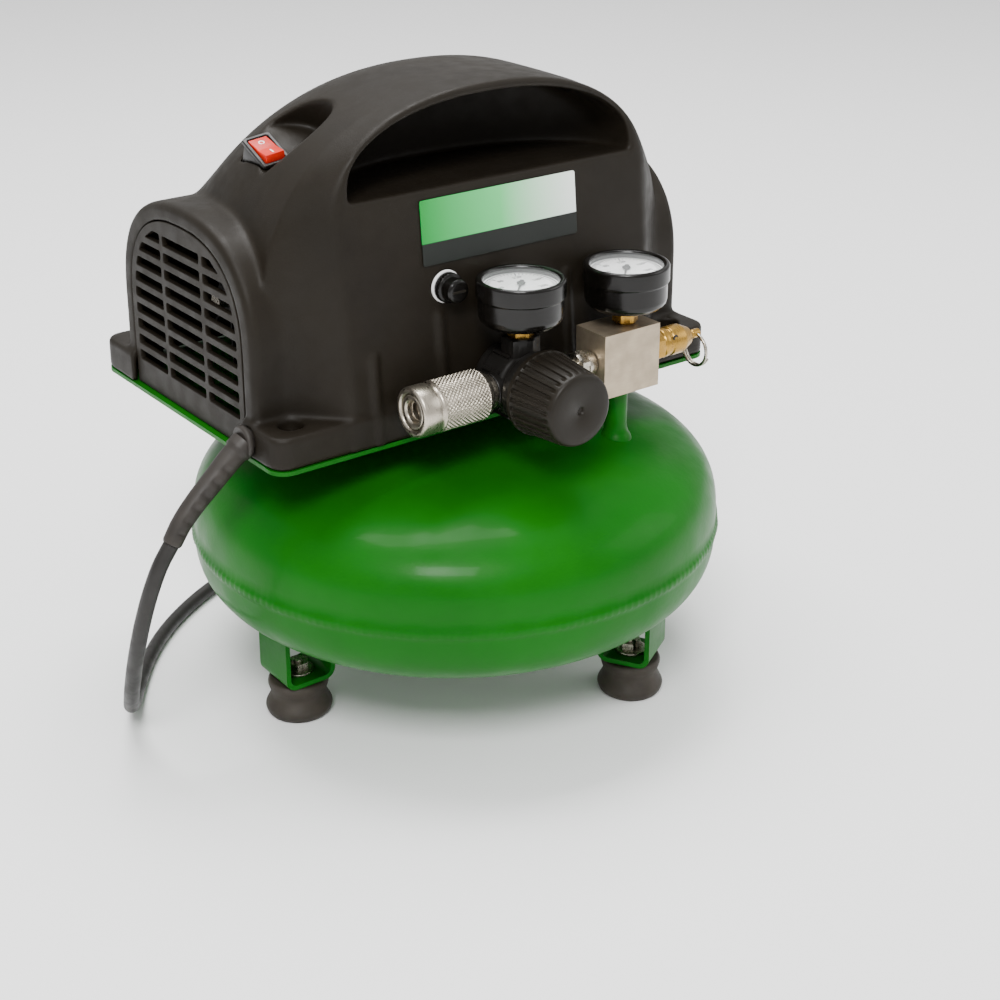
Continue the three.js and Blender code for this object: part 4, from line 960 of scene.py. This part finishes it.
def make_switch():
    frame_matrix = switch_frame()
    outer = rounded_rectangle(7.5, 10.5, 1.6, 6)
    inner = rounded_rectangle(5.5, 8.6, 0.8, 4)
    flange = shifted(flat_plate(outer, [inner], 2.0, 0.5), (0, 0, 0.3))
    well = shifted(flat_plate(rounded_rectangle(6.4, 9.4, 0.8, 4), [inner], 12, 0.2), (0, 0, -11.6))
    base = block((12.6, 18.6, 1.2), (0, 0, -11.2))
    bezel = moved(merged([flange, well, base]), frame_matrix)
    piece("switch_frame", bezel, SATIN_BLACK, "switch_bezel")

    def on_rim(degrees):
        return 8.3 * math.cos(math.radians(degrees)), 1 + 8.3 * math.sin(math.radians(degrees))

    outline = [on_rim(a) for a in (148, 156, 164, 172, 180, 185)] + [(-4.5, -5), (4.5, -5)]
    outline += [on_rim(a) for a in (-20, -12, -4, 2, 6)] + [(1.2, 3.1), (0, 3.05), (-1.2, 3.4)]
    rocker = moved(flat_plate(outline, [], 10, 0.5), placed("x", (-5, 0, 0)))
    piece("rocker", moved(rocker, frame_matrix), RED, "switch_rocker", 40, body="power_switch")

    tilt_near = math.atan2(5.4 - 3.2, 7.04)
    tilt_far = math.atan2(1.87 - 3.05, 8.25)
    bar = rotated(block((0.7, 3.0, 0.12), (0, 0, 0)), -tilt_near, "X")
    bar = shifted(bar, (0, -4.2, 4.62))
    circle = turned(washer(0.95, 1.5, 0.12, 0.02), "z", (0, 0, 0), 32)
    circle = shifted(rotated(circle, tilt_far, "X"), (0, 4.6, 2.42))
    piece("rocker_marks", moved(merged([bar, circle]), frame_matrix), WHITE, body="power_switch")


def make_fuse():
    fuse = middle("fuse_cap")
    skin = front_y(fuse.z)
    washer_profile = [(6.1, 0), (7.9, 0), (7.9, 1.3), (6.1, 1.3), (6.1, 0)]
    ring = turned(washer_profile, "y", (fuse.x, skin, fuse.z), 64, ease=0.3)
    piece("fuse_washer", ring, WHITE, "fuse_holder")
    barrel = [(4, 3), (4, -30), (6, -30), (6, 3), (4, 3)]
    barrel = turned(barrel, "y", (fuse.x, skin + 1, fuse.z), 48)
    piece("fuse_barrel", barrel, SATIN_BLACK)

    front = lowest("fuse_cap").y

    def notched(angle, radius, height):
        on_rim = radius > 6.9 and 0.6 < height < 3.2
        return radius - 0.35 * max(0.0, math.sin(angle * 24)) if on_rim else radius

    length = skin - 1.5 - front
    cap = [(0, 0), (7.2, 0), (7.2, 0.7), (7.3, 1.0), (7.3, 3.0), (7.0, 3.5), (5.9, 3.8), (5.8, length - 1.2),
           (5.2, length - 0.3), (4.2, length), (1.0, length), (0.9, length - 0.8), (0, length - 0.8)]
    cap = turned(cap, "y", (fuse.x, skin - 1.5, fuse.z), 144, notched, 0.15)
    piece("fuse_cap_grip", cap, BLACK, "fuse_cap", 45, body="fuse_cap")
    slot_plate = flat_plate(rounded_rectangle(3.7, 0.6, 0.5, 4), [], 0.4, 0.12)
    slot_bar = moved(slot_plate, placed("y", (fuse.x, front + 0.3, fuse.z)))
    piece("fuse_cap_slot", slot_bar, KNOB, body="fuse_cap")


def make_badge():
    low, high = lowest("front_badge"), highest("front_badge")
    half_x, half_z = (high.x - low.x) / 2, (high.z - low.z) / 2
    plate = flat_plate(rounded_rectangle(half_x, half_z, 1.2, 5), [], 0.6, 0.15)
    lean = Matrix.Rotation(-math.atan(FRONT_LEAN), 4, "X")
    centre_z = (low.z + high.z) / 2
    badge = moved(plate, lean @ placed("y", (0, 0, 0)))
    badge = shifted(badge, (0, front_y(centre_z) - 0.25, centre_z))
    piece("plain_label", badge, LABEL, "front_badge")


def make_screws():
    six = hexagon(4)

    def socket(angle, radius, height):
        return six(angle, radius, height) if radius < 3.1 else radius

    for i in range(1, 5):
        node = f"hood_screw_{i}"
        centre, top, foot = middle(node), highest(node).z, lowest(node).z
        head = [(0, foot), (2.2, foot), (2.2, top - 3), (4.6, top - 3), (4.6, top - 1.2), (4.1, top - 0.3),
                (3.2, top), (2.6, top), (2.4, top - 0.3), (2.4, top - 1.8), (0, top - 1.8)]
        screw = turned(head, "z", (centre.x, centre.y, 0), 48, socket)
        piece(f"cap_screw_{i}", screw, ZINC, node, 40)


# ---- Mains cord ----


def coil_points():
    """The coil's turns from the floor up: out, in, up a layer, in, out, up a layer, out, in."""
    cx, cy, cz = COIL_AT
    near, far = COIL_MEAN_R - CORD_D / 2, COIL_MEAN_R + CORD_D / 2
    levels = [(far, 0), (near, 0), (near, 1), (far, 1), (far, 2), (near, 2)]
    points = []
    for turn, (radius, layer) in enumerate(levels):
        ahead = levels[min(turn + 1, len(levels) - 1)]
        for i in range(COIL_STEPS):
            share = i / COIL_STEPS
            step = max(0.0, (share - 0.8) / 0.2)
            step = step * step * (3 - 2 * step)
            r = radius + (ahead[0] - radius) * step
            z = cz + CORD_D * (layer + (ahead[1] - layer) * step + 0.5)
            angle = TURN * share - math.pi / 2
            points.append(Vector((cx + r * math.cos(angle), cy + r * math.sin(angle), z)))
    return points


def plug_lead(plug_z):
    """The cord's end: on round the coil's top, then a tighter arc to the plug, rising all the way."""
    cx, cy, cz = COIL_AT
    near, leave = COIL_MEAN_R - CORD_D / 2, math.radians(LEAD_TURN)
    flat = []
    for degrees in range(LEAD_START, 271, 4):
        angle = math.radians(degrees)
        radius = near if degrees < LEAD_TURN else LEAD_R
        slip = near - radius
        flat.append(Vector((cx + slip * math.cos(leave) + radius * math.cos(angle),
                            cy + slip * math.sin(leave) + radius * math.sin(angle), 0)))
    steps = [0.0]
    for before, after in zip(flat, flat[1:]):
        steps.append(steps[-1] + (after - before).length)
    start_z = cz + CORD_D * 2.5
    for point, along in zip(flat, steps):
        point.z = start_z + (plug_z - start_z) * (1 - math.cos(math.pi * along / steps[-1])) / 2
    return flat + [flat[-1] + Vector((5, 0, 0))]


def make_cord():
    route = smooth_path([Vector(p) / MM for p in CORD_POINTS], 4)
    turns = coil_points()
    last = len(turns) - COIL_STEPS + round(COIL_STEPS * (LEAD_START + 90) / 360)
    points = route[:-3] + smooth_path([route[-4], turns[0] + Vector((-6, 0, 0)), turns[2]], 4)[1:-1]
    points += turns[2:last] + plug_lead(lowest("power_plug").z + PLUG_AXIS)
    curve = bpy.data.curves.new("mains_cord", "CURVE")
    curve.dimensions = "3D"
    spline = curve.splines.new("POLY")
    spline.points.add(len(points) - 1)
    for target, point in zip(spline.points, points):
        target.co = (*(Vector(point) * MM), 1)
    curve.bevel_depth = CORD_D / 2 * MM
    curve.bevel_resolution = 6
    curve.use_fill_caps = True
    curve.materials.append(CORD)
    cord = linked("mains_cord", curve)
    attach(cord, "chassis")
    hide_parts("power_cord", "cord_coil")
    length = sum((Vector(b) - Vector(a)).length for a, b in zip(points, points[1:])) * MM
    return cord, round(length, 3)


def make_relief():
    path = smooth_path(RELIEF_POINTS, 1.2)
    count = len(path) - 1

    def ribbed(angle, i, radius):
        share = i / count
        if 0.2 < share < 0.9 and i % 6 in (0, 1) and math.cos(angle * 2) > 0.55:
            return radius - 0.75
        return radius

    radii = [5.9 - 1.3 * i / count if i / count > 0.1 else 6.6 for i in range(count + 1)]
    radii[-1] = radii[-2] - 0.4
    sleeve = sweep(path, radii, 40, ribbed)
    y = RELIEF_POINTS[0][1]
    throat = turned(rod(6, 10), "x", (RELIEF_X, y, RELIEF_Z), 40, ease=0.4)
    collar = [(0, 0), (7.2, 0), (8, 0.8), (8, 2.4), (7.2, 3), (0, 3)]
    collar = turned(collar, "x", (RELIEF_X - 0.2, y, RELIEF_Z), 48, ease=0.5)
    relief = merged([sleeve, throat, collar])
    return piece("cord_relief", relief, RELIEF, "strain_relief", 50)


def make_plug():
    low, plug = lowest("power_plug"), middle("power_plug")
    z = low.z + PLUG_AXIS
    rear = low.x + 41 - 15
    outline = rounded_rectangle(15, 12.5, 5, 8)
    grip = shifted(flat_plate(outline, [], 2 * PLUG_AXIS, 3), (rear + 15, plug.y, low.z))

    def ringed(angle, radius, height):
        return radius - 0.8 if 4 < height < 22 and int(height / 1.5) % 2 else radius

    boot = [(0, 0), (4.4, 0), (4.9, 0.8)] + [(4.9 + 1.5 * h / 24, h) for h in np.arange(1.5, 24, 0.5)]
    boot += [(6.6, 25), (7.4, 28), (0, 28)]
    boot = turned(boot, "x", (low.x, plug.y, z), 48, ringed)
    body = piece("plug_body", merged([grip, boot]), CORD, "power_plug", 40)
    root = rear + 29.6
    flat = [(0, -3.1), (16, -3.1), (17.6, -1.6), (17.6, 1.6), (16, 3.1), (0, 3.1)]
    eye = [(12.4 + 1.3 * math.cos(TURN * i / 16), 1.3 * math.sin(TURN * i / 16)) for i in range(16)]
    blade = rotated(flat_plate(flat, [eye], 1.5, 0.15), math.pi / 2, "X")
    blades = [shifted(blade, (root, plug.y + side + 0.75, z - 4)) for side in (-6.35, 6.35)]
    pin = [(0, 0), (2.4, 0), (2.4, 18), (1.6, 20), (0, 20.4)]
    pin = turned(pin, "x", (root, plug.y, z + 5), 32, ease=0.4)
    prongs = piece("plug_prongs", merged([*blades, pin]), BRASS)
    return body, prongs


def make_tie():
    low, high, centre = lowest("cord_tie"), highest("cord_tie"), middle("cord_tie")
    half_x, half_z = (high.x - low.x) / 2, (high.z - low.z) / 2
    outer = rounded_rectangle(half_x, half_z, 4.0, 6)
    inner = rounded_rectangle(half_x - 0.9, half_z - 0.9, 3.2, 6)
    strap = moved(flat_plate(outer, [inner], 5, 0.25), placed("y", (centre.x, centre.y + 2.5, centre.z)))
    return piece("cable_tie", strap, SATIN_BLACK, "cord_tie")


def make_cord_set():
    relief, tie = make_relief(), make_tie()
    plug, prongs = make_plug()
    cord, length = make_cord()


# ---- Carried-over CAD nodes ----


def dress_nodes():
    finishes = {
        GREEN: ["mounting_plate", *[f"leg_strap_{n}" for n in LEG_ANGLES]],
        ZINC: [*[f"foot_bolt_{n}" for n in LEG_ANGLES], "motor_rotor", "crank_eccentric"],
        CAST: ["motor_stator", "crankcase", "connecting_rod_piston", "cylinder_sleeve", "cylinder_head",
               "discharge_tube"],
        ALUMINIUM: ["manifold_block"],
        BRASS: ["drain_valve_body", "drain_valve_knob", "check_valve"],
        SATIN_BLACK: ["cooling_fan", "intake_filter"],
    }
    for material, names in finishes.items():
        for name in names:
            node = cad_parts[name]
            node.data.materials.clear()
            node.data.materials.append(material)
    for name in ("mounting_plate", "drain_valve_body", "drain_valve_knob", "crankcase", "cylinder_head"):
        soften(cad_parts[name], 0.4)


make_camera()
make_cord_set()
make_studio()
make_hood()
for side in (-1, 1):
    make_grille(side)
make_tank()
make_feet()
make_manifold()
make_regulator()
make_coupler()
for place in ("outlet", "tank"):
    make_gauge(place)
make_switch()
make_fuse()
make_badge()
make_screws()
dress_nodes()
